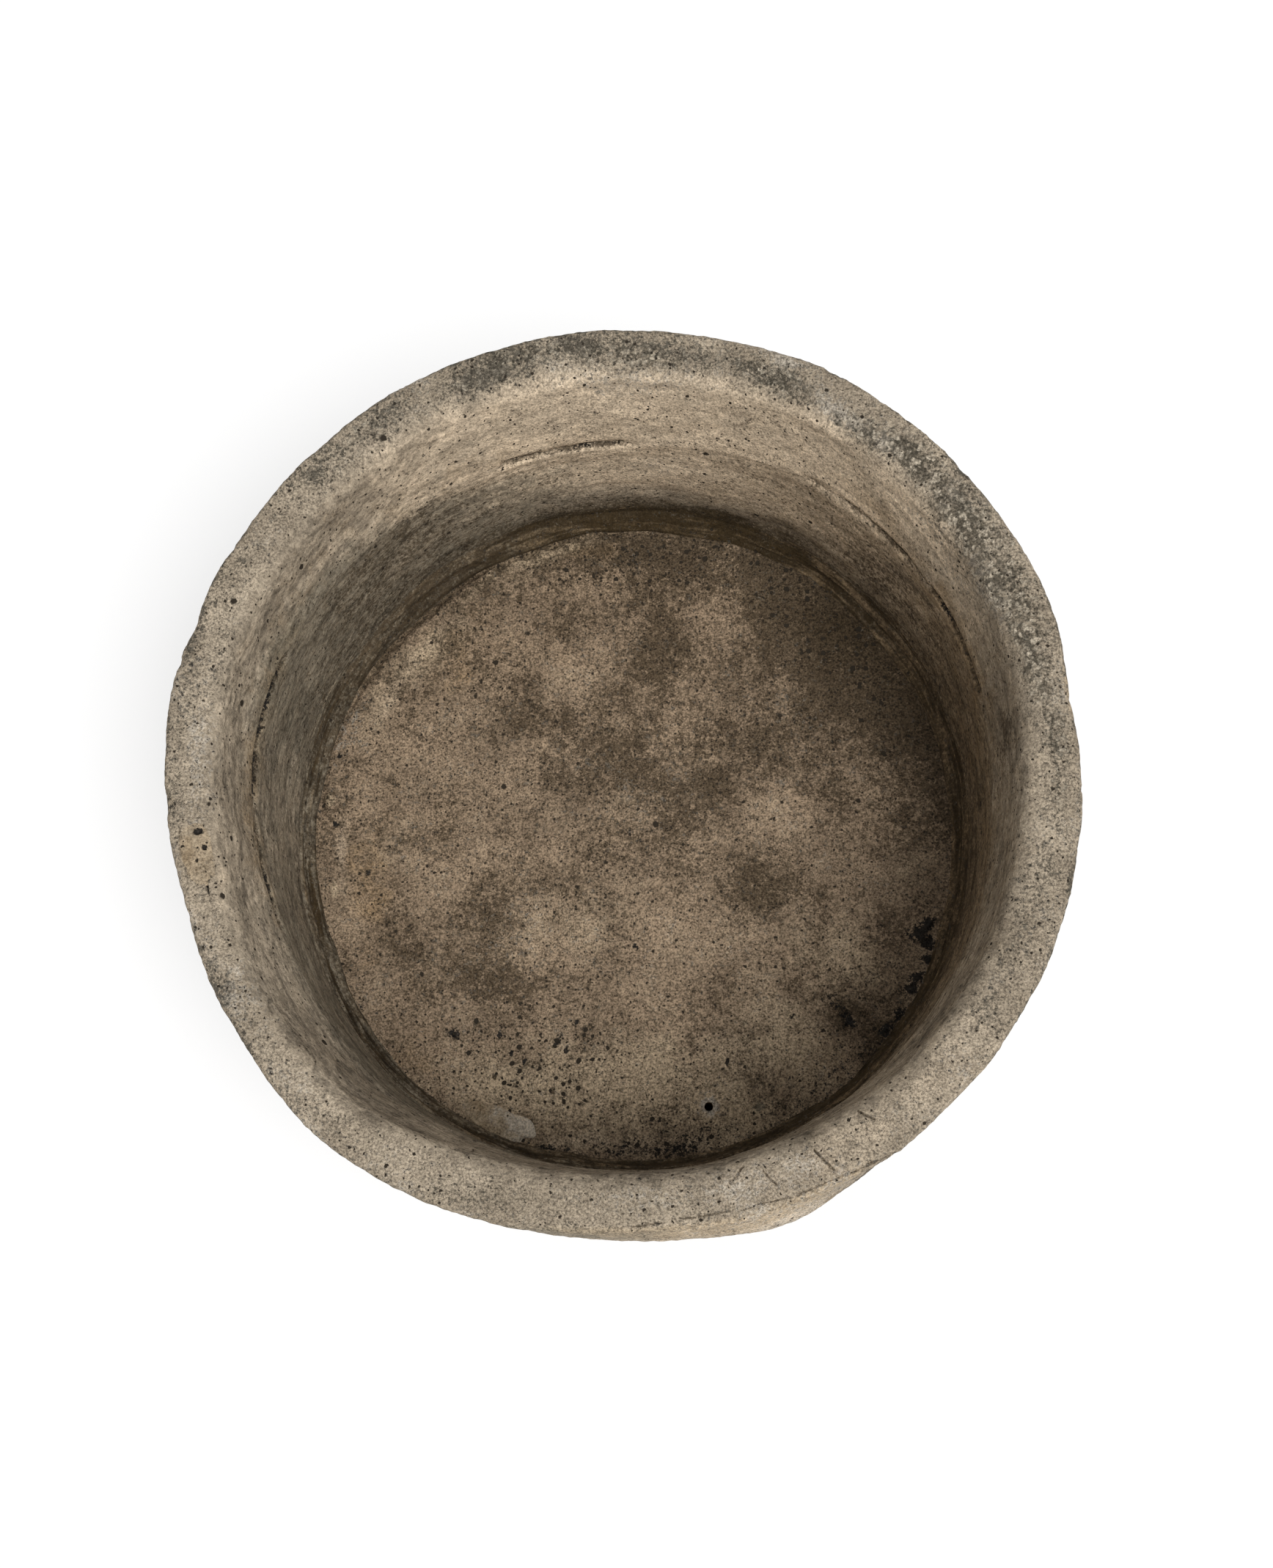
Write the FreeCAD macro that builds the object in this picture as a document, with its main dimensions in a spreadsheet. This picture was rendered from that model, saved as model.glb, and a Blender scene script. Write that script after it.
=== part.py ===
import FreeCAD
import Part
import Sketcher
import math
import os

# Round cast-stone trough planter, open at the top.
# Two wall lifts stand on a base slab, with a floor screed, a mortar fillet and two mortar repairs.
# All of them are cast round a cage of steel hoops and bars, which ties the lifts to the slab.
# Millimetres, +Z up, origin at the centre of the underside. The side nearest the viewer is -Y.

# Driving sizes: alias, value, meaning. Every other size is an expression of these.
SIZES = [
    ("rim_diameter", 900, "outside of the wall at the rim"),
    ("foot_diameter", 876, "outside of the wall at the ground"),
    ("overall_height", 370, "ground to rim"),
    ("wall_thickness", 57, "wall at the foot, which also sets the upright inner face"),
    ("rim_width", 50, "rim from its outer edge to the corner of the mouth"),
    ("rim_course_height", 92, "upper lift, from the lift joint to the rim"),
    ("edge_round", 9, "rounding of the rim's outer edge"),
    ("lip_round", 20, "rounding from the rim into the mouth"),
    ("foot_round", 6, "rounding where the slab meets the ground"),
    ("slab_thickness", 58, "base slab under the wall and the screed"),
    ("screed_thickness", 22, "floor screed on the slab"),
    ("fillet_height", 42, "mortar fillet up the wall"),
    ("fillet_width", 14, "mortar fillet out on the floor"),
    ("fillet_ledge", 2, "flat top edge of the fillet"),
    ("fillet_hollow", 0.2, "depth of the fillet's hollow face, as a share of its run"),
    ("drain_diameter", 10, "drilled drain hole"),
    ("drain_across", 86, "drain hole from the centre, towards +X"),
    ("drain_forward", 303, "drain hole from the centre, towards -Y"),
    ("bar_size", 8, "side of the square bars"),
    ("hoop_height", 20, "flat hoops, upright"),
    ("hoop_thickness", 4, "flat hoops, through the wall"),
    ("tie_gap", 1, "mortar between bars that cross"),
    ("wall_bar_count", 12, "upright bars round the wall"),
    ("wall_bar_cover", 36, "top of the upright bars, below the rim"),
    ("bar_bend", 24, "centreline radius of an upright bar's bend"),
    ("bar_foot", 110, "straight foot of an upright bar, in the slab"),
    ("rim_hoop_drop", 46, "top hoop, below the rim"),
    ("mat_bar_count", 5, "base mat bars in each layer"),
    ("mat_spacing", 120, "base mat bars, centre to centre"),
    ("mat_edge", 48, "base mat bar ends, in from the foot's edge"),
    ("patch_azimuth", 190, "rim repair, degrees from +X"),
    ("patch_inset", 25, "rim repair's centre, in from the rim's outer edge"),
    ("patch_length", 64, "rim repair along the rim"),
    ("patch_width", 32, "rim repair across the rim"),
    ("patch_depth", 14, "rim repair down into the rim"),
    ("smear_azimuth", 246, "floor repair, degrees from +X"),
    ("smear_inset", 27, "floor repair's centre, in from the wall"),
    ("smear_length", 72, "floor repair along the wall"),
    ("smear_width", 42, "floor repair out from the wall"),
    ("smear_thickness", 3, "floor repair above the screed"),
    ("spall_azimuth", 281, "long spall of the rim's outer edge, degrees from +X"),
    ("spall_depth", 11, "long spall, in from the rim's outer edge"),
    ("spall_height", 60, "long spall, down the wall"),
    ("spall_flattening", 150, "how much flatter than the rim the spall is in plan, in radius"),
    ("chip_east_azimuth", 9, "chip in the rim's outer edge, degrees from +X"),
    ("chip_east_length", 96, "chip along the rim"),
    ("chip_east_depth", 7, "chip in from the rim"),
    ("chip_northwest_azimuth", 161, "chip in the rim's outer edge, degrees from +X"),
    ("chip_northwest_length", 44, "chip along the rim"),
    ("chip_northwest_depth", 6, "chip in from the rim"),
    ("chip_west_azimuth", 184, "chip in the rim's outer edge, degrees from +X"),
    ("chip_west_length", 34, "chip along the rim"),
    ("chip_west_depth", 4, "chip in from the rim"),
    ("cut_overshoot", 5, "how far a cutting tool runs past the face that it opens"),
]

# Expressions that several pieces share.
RIM_RADIUS = "sizes.rim_diameter / 2"
FOOT_RADIUS = "sizes.foot_diameter / 2"
INNER_RADIUS = "(sizes.foot_diameter / 2 - sizes.wall_thickness)"
MOUTH_RADIUS = "(sizes.rim_diameter / 2 - sizes.rim_width)"
BATTER = "((sizes.rim_diameter - sizes.foot_diameter) / 2 / sizes.overall_height)"
LIFT_Z = "(sizes.overall_height - sizes.rim_course_height)"
FLOOR_Z = "(sizes.slab_thickness + sizes.screed_thickness)"
BAR_STEP = "(sizes.bar_size + sizes.tie_gap)"
BAR_INNER = f"({FOOT_RADIUS} - (sizes.wall_thickness + {BAR_STEP} + sizes.hoop_thickness) / 2)"
BAR_CIRCLE = f"({BAR_INNER} + sizes.bar_size / 2)"
HOOP_INNER = f"({BAR_INNER} + {BAR_STEP})"
BAR_TOP_Z = "(sizes.overall_height - sizes.wall_bar_cover)"
BAR_FOOT_Z = f"(sizes.slab_thickness / 2 + {BAR_STEP})"

CHIPS = ("east", "northwest", "west")
OUTLINE_POINTS = 16
# Each wave round a trowelled outline: lobes, height as a share of the radius, and phase.
OUTLINE_WAVES = ((3, 0.10, 0.6), (5, 0.06, 2.1))
# How closely an edge is matched when it is looked up, in millimetres.
EDGE_MATCH = 0.01

doc = FreeCAD.newDocument("trough_planter")
sheet = doc.addObject("Spreadsheet::Sheet", "sizes")
for row, (alias, number, meaning) in enumerate(SIZES, start=1):
    sheet.set(f"A{row}", alias)
    sheet.set(f"B{row}", str(number))
    sheet.set(f"C{row}", meaning)
    sheet.setAlias(f"B{row}", alias)
doc.recompute()


def value(expression):
    """The number that an expression of the sheet's sizes has now."""
    return float(sheet.evalExpression(expression))


def bind(feature, **expressions):
    """Ties properties of a feature to expressions of the sheet's sizes."""
    for name, expression in expressions.items():
        feature.setExpression(name, expression)


def place(feature, across="0", along="0", up="0", turn="0"):
    """Ties a feature's position and its turn about Z, in degrees, to expressions."""
    bind(
        feature,
        **{
            "Placement.Base.x": across,
            "Placement.Base.y": along,
            "Placement.Base.z": up,
            "Placement.Rotation.Angle": turn,
        },
    )


def outer_radius(height):
    """The expression for the wall's outer radius at a height."""
    return f"({FOOT_RADIUS} + {BATTER} * {height})"


def round_the_axis(radius, azimuth):
    """The two expressions for a point at a radius and an azimuth about Z."""
    return f"{radius} * cos({azimuth} * 1 deg)", f"{radius} * sin({azimuth} * 1 deg)"


def origin_plane(body, role):
    """One of a body's own origin planes."""
    return next(feature for feature in body.Origin.OriginFeatures if feature.Role == role)


def new_sketch(body, name, role):
    """An empty sketch on one of a body's origin planes."""
    sketch = body.newObject("Sketcher::SketchObject", name)
    sketch.AttachmentSupport = [(origin_plane(body, role), "")]
    sketch.MapMode = "FlatFace"
    return sketch


def pin_point(sketch, geometry, end, across, up):
    """Holds a point of a sketch at two expressions, or on an axis where one is 0."""
    for kind, axis, expression in (("DistanceX", -2, across), ("DistanceY", -1, up)):
        if expression == "0":
            sketch.addConstraint(Sketcher.Constraint("PointOnObject", geometry, end, axis))
            continue
        rule = Sketcher.Constraint(kind, -1, 1, geometry, end, value(expression))
        index = sketch.addConstraint(rule)
        sketch.setExpression(f"Constraints[{index}]", expression)


def draw_polygon(sketch, corners):
    """Draws a closed outline of straight lines, with each corner tied to two expressions."""
    points = [FreeCAD.Vector(value(across), value(up), 0) for across, up in corners]
    count = len(points)
    for i in range(count):
        sketch.addGeometry(Part.LineSegment(points[i], points[(i + 1) % count]), False)
    for i in range(count):
        sketch.addConstraint(Sketcher.Constraint("Coincident", i, 2, (i + 1) % count, 1))
    for i, (across, up) in enumerate(corners):
        pin_point(sketch, i, 1, across, up)


def draw_square(sketch, inner, side):
    """Draws a square of a set side, set astride the X axis from an inner distance outwards."""
    near = value(inner)
    far = near + value(side)
    half = value(side) / 2
    corners = [(near, -half), (far, -half), (far, half), (near, half)]
    points = [FreeCAD.Vector(across, along, 0) for across, along in corners]
    for i in range(4):
        sketch.addGeometry(Part.LineSegment(points[i], points[(i + 1) % 4]), False)
    for i in range(4):
        sketch.addConstraint(Sketcher.Constraint("Coincident", i, 2, (i + 1) % 4, 1))
    for kind, line in (("Horizontal", 0), ("Vertical", 1), ("Horizontal", 2)):
        sketch.addConstraint(Sketcher.Constraint(kind, line))
    sketch.addConstraint(Sketcher.Constraint("Symmetric", 0, 1, 2, 2, -1))
    sizes = (
        (Sketcher.Constraint("DistanceX", -1, 1, 0, 1, near), inner),
        (Sketcher.Constraint("DistanceX", 0, 1, 0, 2, far - near), side),
        (Sketcher.Constraint("DistanceY", 1, 1, 1, 2, 2 * half), side),
    )
    for rule, expression in sizes:
        index = sketch.addConstraint(rule)
        sketch.setExpression(f"Constraints[{index}]", expression)


def revolve(body, sketch):
    """Turns a profile right round the Z axis."""
    turned = body.newObject("PartDesign::Revolution", f"{sketch.Name}_turned")
    turned.Profile = sketch
    turned.ReferenceAxis = (sketch, ["V_Axis"])
    turned.Angle = 360
    doc.recompute()
    return turned


def turned_body(name, corners):
    """A body turned from a straight-sided half section."""
    body = doc.addObject("PartDesign::Body", name)
    sketch = new_sketch(body, f"{name}_section", "XZ_Plane")
    draw_polygon(sketch, corners)
    return body, revolve(body, sketch)


def round_edge(body, base, name, radius_of_edge, height, rounding):
    """Rounds the circular edge that a turned feature has at a radius and a height."""
    edge = next(
        f"Edge{i}"
        for i, candidate in enumerate(base.Shape.Edges, start=1)
        if isinstance(candidate.Curve, Part.Circle)
        and abs(candidate.Curve.Radius - value(radius_of_edge)) < EDGE_MATCH
        and abs(candidate.Curve.Center.z - value(height)) < EDGE_MATCH
    )
    fillet = body.newObject("PartDesign::Fillet", name)
    fillet.Base = (base, [edge])
    bind(fillet, Radius=rounding)
    doc.recompute()
    return fillet


def boolean(kind, name, base, tool):
    """A Part boolean of two objects."""
    result = doc.addObject(f"Part::{kind}", name)
    result.Base = base
    result.Tool = tool
    return result


def compound(name, members):
    """Several objects as one, each still a separate solid."""
    group = doc.addObject("Part::Compound", name)
    group.Links = members
    return group


def trowelled_outline(length, width):
    """A closed, lobed outline, as a trowel leaves it, with its length along Y."""
    points = []
    for i in range(OUTLINE_POINTS):
        angle = 2 * math.pi * i / OUTLINE_POINTS
        reach = 1 + sum(height * math.cos(lobes * angle + phase) for lobes, height, phase in OUTLINE_WAVES)
        across = width / 2 * reach * math.cos(angle)
        along = length / 2 * reach * math.sin(angle)
        points.append(FreeCAD.Vector(across, along, 0))
    curve = Part.BSplineCurve()
    curve.interpolate(points, PeriodicFlag=True)
    return Part.Face(Part.Wire(curve.toShape()))


def trowelled_pad(name, length, width, thickness):
    """A pad of mortar of a trowelled outline, standing on the XY plane."""
    pad = doc.addObject("Part::Feature", name)
    outline = trowelled_outline(value(length), value(width))
    pad.Shape = outline.extrude(FreeCAD.Vector(0, 0, value(thickness)))
    return pad


def make_hoop(name, height):
    """A flat steel hoop in the wall, standing on edge outside the upright bars."""
    outer = f"({HOOP_INNER} + sizes.hoop_thickness)"
    low = f"({height} - sizes.hoop_height / 2)"
    high = f"({height} + sizes.hoop_height / 2)"
    body, _ = turned_body(name, [(HOOP_INNER, low), (outer, low), (outer, high), (HOOP_INNER, high)])
    return body


def make_wall_bars():
    """Upright bars, each bent inwards at its foot so that it holds in the slab."""
    body = doc.addObject("PartDesign::Body", "wall_bars")
    body.AllowCompound = True
    bend_x = f"({BAR_CIRCLE} - sizes.bar_bend)"
    bend_z = f"({BAR_FOOT_Z} + sizes.bar_bend)"
    foot_x = f"({bend_x} - sizes.bar_foot)"

    spine = new_sketch(body, "wall_bar_line", "XZ_Plane")
    top = FreeCAD.Vector(value(BAR_CIRCLE), value(BAR_TOP_Z), 0)
    bend_start = FreeCAD.Vector(value(BAR_CIRCLE), value(bend_z), 0)
    bend_end = FreeCAD.Vector(value(bend_x), value(BAR_FOOT_Z), 0)
    foot = FreeCAD.Vector(value(foot_x), value(BAR_FOOT_Z), 0)
    centre = FreeCAD.Vector(value(bend_x), value(bend_z), 0)
    bend = Part.Circle(centre, FreeCAD.Vector(0, 0, 1), value("sizes.bar_bend"))
    spine.addGeometry(Part.LineSegment(top, bend_start), False)
    spine.addGeometry(Part.ArcOfCircle(bend, 1.5 * math.pi, 2 * math.pi), False)
    spine.addGeometry(Part.LineSegment(bend_end, foot), False)
    spine.addConstraint(Sketcher.Constraint("Tangent", 0, 2, 1, 2))
    spine.addConstraint(Sketcher.Constraint("Tangent", 1, 1, 2, 1))
    pin_point(spine, 0, 1, BAR_CIRCLE, BAR_TOP_Z)
    pin_point(spine, 1, 3, bend_x, bend_z)
    pin_point(spine, 2, 2, foot_x, BAR_FOOT_Z)

    section = new_sketch(body, "wall_bar_section", "XY_Plane")
    bind(section, **{"AttachmentOffset.Base.z": BAR_TOP_Z})
    draw_square(section, BAR_INNER, "sizes.bar_size")
    doc.recompute()

    bar = body.newObject("PartDesign::AdditivePipe", "wall_bar")
    bar.Profile = section
    bar.Spine = spine
    doc.recompute()

    ring = body.newObject("PartDesign::PolarPattern", "wall_bar_ring")
    ring.Originals = [bar]
    ring.Axis = (origin_plane(body, "Z_Axis"), [""])
    ring.Angle = 360
    bind(ring, Occurrences="sizes.wall_bar_count")
    body.Tip = ring
    return body


def make_mat_layer(name, layer, turn):
    """One layer of the base mat: straight bars, each as long as the slab's circle leaves room for."""
    bars = []
    for bar_number in range(int(value("sizes.mat_bar_count"))):
        offset = f"({bar_number} - (sizes.mat_bar_count - 1) / 2) * sizes.mat_spacing"
        half = f"sqrt(({FOOT_RADIUS} - sizes.mat_edge)^2 - ({offset})^2)"
        bar = doc.addObject("Part::Box", f"{name}_bar")
        bind(bar, Length=f"2 * {half}", Width="sizes.bar_size", Height="sizes.bar_size")
        place(bar, f"-1 * {half}", f"{offset} - sizes.bar_size / 2", "-1 * sizes.bar_size / 2")
        bars.append(bar)
    mat = compound(name, bars)
    mat.Placement.Rotation = FreeCAD.Rotation(FreeCAD.Vector(0, 0, 1), turn)
    bind(mat, **{"Placement.Base.z": f"sizes.slab_thickness / 2 + {layer} * {BAR_STEP}"})
    return mat


def make_drain_drill():
    """The drill that opens the drain hole right through the screed and the slab."""
    drill = doc.addObject("Part::Cylinder", "drain_drill")
    height = f"{FLOOR_Z} + 2 * sizes.cut_overshoot"
    bind(drill, Radius="sizes.drain_diameter / 2", Height=height)
    place(drill, "sizes.drain_across", "-1 * sizes.drain_forward", "-1 * sizes.cut_overshoot")
    return drill


def make_base_slab(cage, drill):
    """The slab that the wall stands on, with a rounded foot and the drain hole."""
    body, turned = turned_body(
        "slab_pour",
        [
            ("0", "0"),
            (FOOT_RADIUS, "0"),
            (outer_radius("sizes.slab_thickness"), "sizes.slab_thickness"),
            ("0", "sizes.slab_thickness"),
        ],
    )
    round_edge(body, turned, "slab_foot_round", FOOT_RADIUS, "0", "sizes.foot_round")
    return boolean("Cut", "base_slab", body, compound("slab_cuts", [cage, drill]))


def make_lower_wall(cage):
    """The lower lift of the wall: upright inside, with a slight batter outside."""
    body, _ = turned_body(
        "lower_wall_pour",
        [
            (INNER_RADIUS, "sizes.slab_thickness"),
            (outer_radius("sizes.slab_thickness"), "sizes.slab_thickness"),
            (outer_radius(LIFT_Z), LIFT_Z),
            (INNER_RADIUS, LIFT_Z),
        ],
    )
    return boolean("Cut", "lower_wall", body, cage)


def make_chip(side):
    """A ball that scoops a shell-shaped chip of a set length and depth out of the rim's edge."""
    length, depth, azimuth = (f"sizes.chip_{side}_{size}" for size in ("length", "depth", "azimuth"))
    ball_radius = f"(({length} / 2)^2 + {depth}^2) / (2 * {depth})"
    ball = doc.addObject("Part::Sphere", f"chip_{side}")
    bind(ball, Radius=ball_radius)
    across, along = round_the_axis(f"({RIM_RADIUS} + {ball_radius} - {depth})", azimuth)
    place(ball, across, along, "sizes.overall_height")
    return ball


def make_spall():
    """What has broken away from the rim's outer edge: all that lies outside a cone set off centre."""
    plan_radius = f"({RIM_RADIUS} + sizes.spall_flattening)"
    height = "sizes.spall_height + sizes.cut_overshoot"
    slope = "sizes.spall_depth / sizes.spall_height"
    cone = doc.addObject("Part::Cone", "spall_cone")
    bind(
        cone,
        Radius1=f"{plan_radius} + sizes.spall_depth",
        Radius2=f"{plan_radius} - {slope} * sizes.cut_overshoot",
        Height=height,
    )
    disc = doc.addObject("Part::Cylinder", "spall_disc")
    bind(disc, Radius=f"{plan_radius} + sizes.spall_depth + sizes.cut_overshoot", Height=height)
    away = "(-1 * (sizes.spall_flattening + sizes.spall_depth))"
    across, along = round_the_axis(away, "sizes.spall_azimuth")
    for solid in (cone, disc):
        place(solid, across, along, "sizes.overall_height - sizes.spall_height")
    return boolean("Cut", "spall", disc, cone)


def make_rim(cage):
    """The upper lift, with its rounded lip and broken edge, and the mortar repair let into it."""
    body, turned = turned_body(
        "rim_pour",
        [
            (INNER_RADIUS, LIFT_Z),
            (outer_radius(LIFT_Z), LIFT_Z),
            (RIM_RADIUS, "sizes.overall_height"),
            (MOUTH_RADIUS, "sizes.overall_height"),
        ],
    )
    top = "sizes.overall_height"
    edge = round_edge(body, turned, "rim_edge_round", RIM_RADIUS, top, "sizes.edge_round")
    round_edge(body, edge, "rim_lip_round", MOUTH_RADIUS, top, "sizes.lip_round")
    losses = compound("rim_losses", [make_chip(side) for side in CHIPS] + [make_spall()])
    weathered = boolean("Cut", "rim_weathered", body, losses)

    depth = "sizes.patch_depth + sizes.cut_overshoot"
    pad = trowelled_pad("patch_pad", "sizes.patch_length", "sizes.patch_width", depth)
    across, along = round_the_axis(f"({RIM_RADIUS} - sizes.patch_inset)", "sizes.patch_azimuth")
    pad_z = "sizes.overall_height - sizes.patch_depth"
    place(pad, across, along, pad_z, "sizes.patch_azimuth")
    rim_patch = boolean("Common", "rim_patch", weathered, pad)
    rim_course = boolean("Cut", "rim_course", weathered, compound("rim_cuts", [cage, pad]))
    return rim_course, rim_patch


def make_floor_screed(cage, drill):
    """The floor screed, poured on the slab against the wall's foot."""
    body, _ = turned_body(
        "screed_pour",
        [
            ("0", "sizes.slab_thickness"),
            (INNER_RADIUS, "sizes.slab_thickness"),
            (INNER_RADIUS, FLOOR_Z),
            ("0", FLOOR_Z),
        ],
    )
    return boolean("Cut", "floor_screed", body, compound("screed_cuts", [cage, drill]))


def make_foot_fillet():
    """The hollow-faced mortar fillet in the corner between the floor and the wall."""
    body = doc.addObject("PartDesign::Body", "foot_fillet")
    top = f"({FLOOR_Z} + sizes.fillet_height)"
    run = "(sizes.fillet_width - sizes.fillet_ledge)"
    dip = f"(sizes.fillet_hollow * {run})"
    hollow_radius = f"(({run}^2 + sizes.fillet_height^2) / 4 + {dip}^2) / (2 * {dip})"
    corners = (
        (f"({INNER_RADIUS} - sizes.fillet_ledge)", top),
        (INNER_RADIUS, top),
        (INNER_RADIUS, FLOOR_Z),
        (f"({INNER_RADIUS} - sizes.fillet_width)", FLOOR_Z),
    )
    points = [FreeCAD.Vector(value(across), value(up), 0) for across, up in corners]
    ledge, toe = points[0], points[-1]
    chord = ledge - toe
    outwards = FreeCAD.Vector(chord.y, -chord.x, 0).normalize()
    deepest = (ledge + toe) / 2 + outwards * value(dip)

    sketch = new_sketch(body, "fillet_section", "XZ_Plane")
    for i in range(3):
        sketch.addGeometry(Part.LineSegment(points[i], points[i + 1]), False)
    sketch.addGeometry(Part.Arc(toe, deepest, ledge), False)
    for i in range(3):
        sketch.addConstraint(Sketcher.Constraint("Coincident", i, 2, i + 1, 1))
    sketch.addConstraint(Sketcher.Constraint("Coincident", 3, 2, 0, 1))
    for i, (across, up) in enumerate(corners):
        pin_point(sketch, i, 1, across, up)
    rule = sketch.addConstraint(Sketcher.Constraint("Radius", 3, value(hollow_radius)))
    sketch.setExpression(f"Constraints[{rule}]", hollow_radius)
    revolve(body, sketch)
    return body


def make_floor_smear(foot_fillet):
    """A thin mortar repair on the screed, trowelled up against the fillet."""
    pad = trowelled_pad("smear_pad", "sizes.smear_length", "sizes.smear_width", "sizes.smear_thickness")
    across, along = round_the_axis(f"({INNER_RADIUS} - sizes.smear_inset)", "sizes.smear_azimuth")
    place(pad, across, along, FLOOR_Z, "sizes.smear_azimuth")
    return boolean("Cut", "floor_smear", pad, foot_fillet)


def export(pieces):
    """Checks every object and every piece, then writes each piece under its label."""
    doc.recompute()
    failed = [item.Name for item in doc.Objects if {"Invalid", "Error"} & set(item.State)]
    if failed:
        raise RuntimeError(f"objects that failed: {failed}")
    for piece in pieces:
        if piece.Shape.isNull() or not piece.Shape.isValid() or not piece.Shape.Solids:
            raise RuntimeError(f"{piece.Label} has no valid solid")
    os.makedirs("parts", exist_ok=True)
    for piece in pieces:
        piece.Shape.exportStep(f"parts/{piece.Label}.step")
        litres = piece.Shape.Volume / 1e6
        print(f"{piece.Label}: {len(piece.Shape.Solids)} solids, {litres:.3f} litres")


foot_hoop = make_hoop("foot_hoop", "sizes.slab_thickness")
lift_hoop = make_hoop("lift_hoop", LIFT_Z)
rim_hoop = make_hoop("rim_hoop", "sizes.overall_height - sizes.rim_hoop_drop")
wall_bars = make_wall_bars()
mat_bars_lower = make_mat_layer("mat_bars_lower", -1, 0)
mat_bars_upper = make_mat_layer("mat_bars_upper", 0, 90)
steel = [foot_hoop, lift_hoop, rim_hoop, wall_bars, mat_bars_lower, mat_bars_upper]
steel_cage = compound("steel_cage", steel)
drain_drill = make_drain_drill()

base_slab = make_base_slab(steel_cage, drain_drill)
lower_wall = make_lower_wall(steel_cage)
rim_course, rim_patch = make_rim(steel_cage)
floor_screed = make_floor_screed(steel_cage, drain_drill)
foot_fillet = make_foot_fillet()
floor_smear = make_floor_smear(foot_fillet)

export(
    steel
    + [base_slab, lower_wall, rim_course, rim_patch, floor_screed, foot_fillet, floor_smear]
)
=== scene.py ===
"""Weathered round trough planter of cast stone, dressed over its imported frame.

The trough was cast by hand in two lifts on a base slab. Inside, a screed makes the
floor, a mortar fillet closes the foot of the wall, and two later repairs show: a let-in
patch on the rim and a smear of mortar on the floor. All lengths are in metres, in the
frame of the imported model: the origin is the centre of the underside, Z is up and the
viewer stands on the -Y side. Marks that the photograph shows are given in its pixels.
"""

import itertools
import logging
import math
from dataclasses import dataclass
from enum import Enum

import bmesh
import bpy
import numpy as np
from mathutils import Matrix, Vector
from mathutils.geometry import intersect_point_line


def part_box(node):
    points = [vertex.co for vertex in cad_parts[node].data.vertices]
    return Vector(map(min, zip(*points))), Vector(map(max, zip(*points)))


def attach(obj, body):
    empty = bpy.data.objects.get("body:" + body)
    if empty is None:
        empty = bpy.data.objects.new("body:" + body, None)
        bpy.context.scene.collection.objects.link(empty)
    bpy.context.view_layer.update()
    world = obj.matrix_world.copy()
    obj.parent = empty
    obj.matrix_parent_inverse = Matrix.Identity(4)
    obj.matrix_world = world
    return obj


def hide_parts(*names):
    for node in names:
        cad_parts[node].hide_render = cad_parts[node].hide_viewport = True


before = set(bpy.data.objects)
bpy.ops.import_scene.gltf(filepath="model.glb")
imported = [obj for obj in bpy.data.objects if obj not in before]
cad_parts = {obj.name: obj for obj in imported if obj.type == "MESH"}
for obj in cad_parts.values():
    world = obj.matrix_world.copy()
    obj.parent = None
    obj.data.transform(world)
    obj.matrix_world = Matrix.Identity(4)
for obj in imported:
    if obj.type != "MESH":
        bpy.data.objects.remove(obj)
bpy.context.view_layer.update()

LOG = logging.getLogger("trough")
IMAGE_WIDTH = 1736
IMAGE_HEIGHT = 2138
MM = 0.001
FULL_TURN = 2.0 * math.pi
SHARP_ANGLE = math.radians(48.0)
DOUBLINGS = 5
SECTOR_STEPS = 28
ROUND_SEGMENTS = 7
MERGE_DISTANCE = 0.001 * MM
REFINE_REACH = 14.0
DRAIN_PLACE = (86 * MM, -303 * MM)
DRAIN_RADIUS = 5 * MM
DRAIN_SIDES = 28
DRILL_LENGTH = 500 * MM

Colour = tuple[float, float, float]
Pixel = tuple[float, float]


class Tint(Enum):
    """Kinds of staining, each a painted attribute of the mesh."""

    LICHEN = "lichen"
    PALE = "pale"
    OCHRE = "ochre"
    ALGAE = "algae"
    DAMP = "damp"
    FRESH = "fresh"
    TAR = "tar"
    EARTH = "earth"
    MUD = "mud"
    SAND = "sand"
    CRUST = "crust"
    PITTED = "pitted"


STRUCK = "struck"


class Slot(Enum):
    """Material slots of the record."""

    CAST_STONE = "cast_stone"
    SCREED = "screed"
    MORTAR = "mortar"


@dataclass(frozen=True)
class TroughShape:
    """Main sizes of the trough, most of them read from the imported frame."""

    rim_radius: float
    foot_radius: float
    inner_radius: float
    batter: float
    top: float
    lift: float
    floor: float
    slab: float
    rim_width: float = 50 * MM
    edge_setback: float = 9 * MM
    lip_setback: float = 16 * MM
    lip_round: float = 20 * MM
    foot_setback: float = 6 * MM

    @classmethod
    def read_frame(cls) -> "TroughShape":
        """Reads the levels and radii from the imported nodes.

        Returns:
            The shape that every dressed piece is built on.
        """
        rim_low, rim_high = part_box("rim_course")
        _, wall_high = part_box("lower_wall")
        _, slab_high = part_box("base_slab")
        _, screed_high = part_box("floor_screed")
        batter = (wall_high.x - slab_high.x) / (wall_high.z - slab_high.z)
        return cls(
            rim_radius=rim_high.x,
            foot_radius=slab_high.x - batter * slab_high.z,
            inner_radius=screed_high.x,
            batter=batter,
            top=rim_high.z,
            lift=rim_low.z,
            floor=screed_high.z,
            slab=slab_high.z,
        )

    @property
    def mouth_radius(self) -> float:
        """Radius where the flat of the rim meets the slope of the mouth."""
        return self.rim_radius - self.rim_width

    def outer_radius(self, height: float) -> float:
        """Radius of the battered outside at a height."""
        return self.foot_radius + self.batter * height


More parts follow.
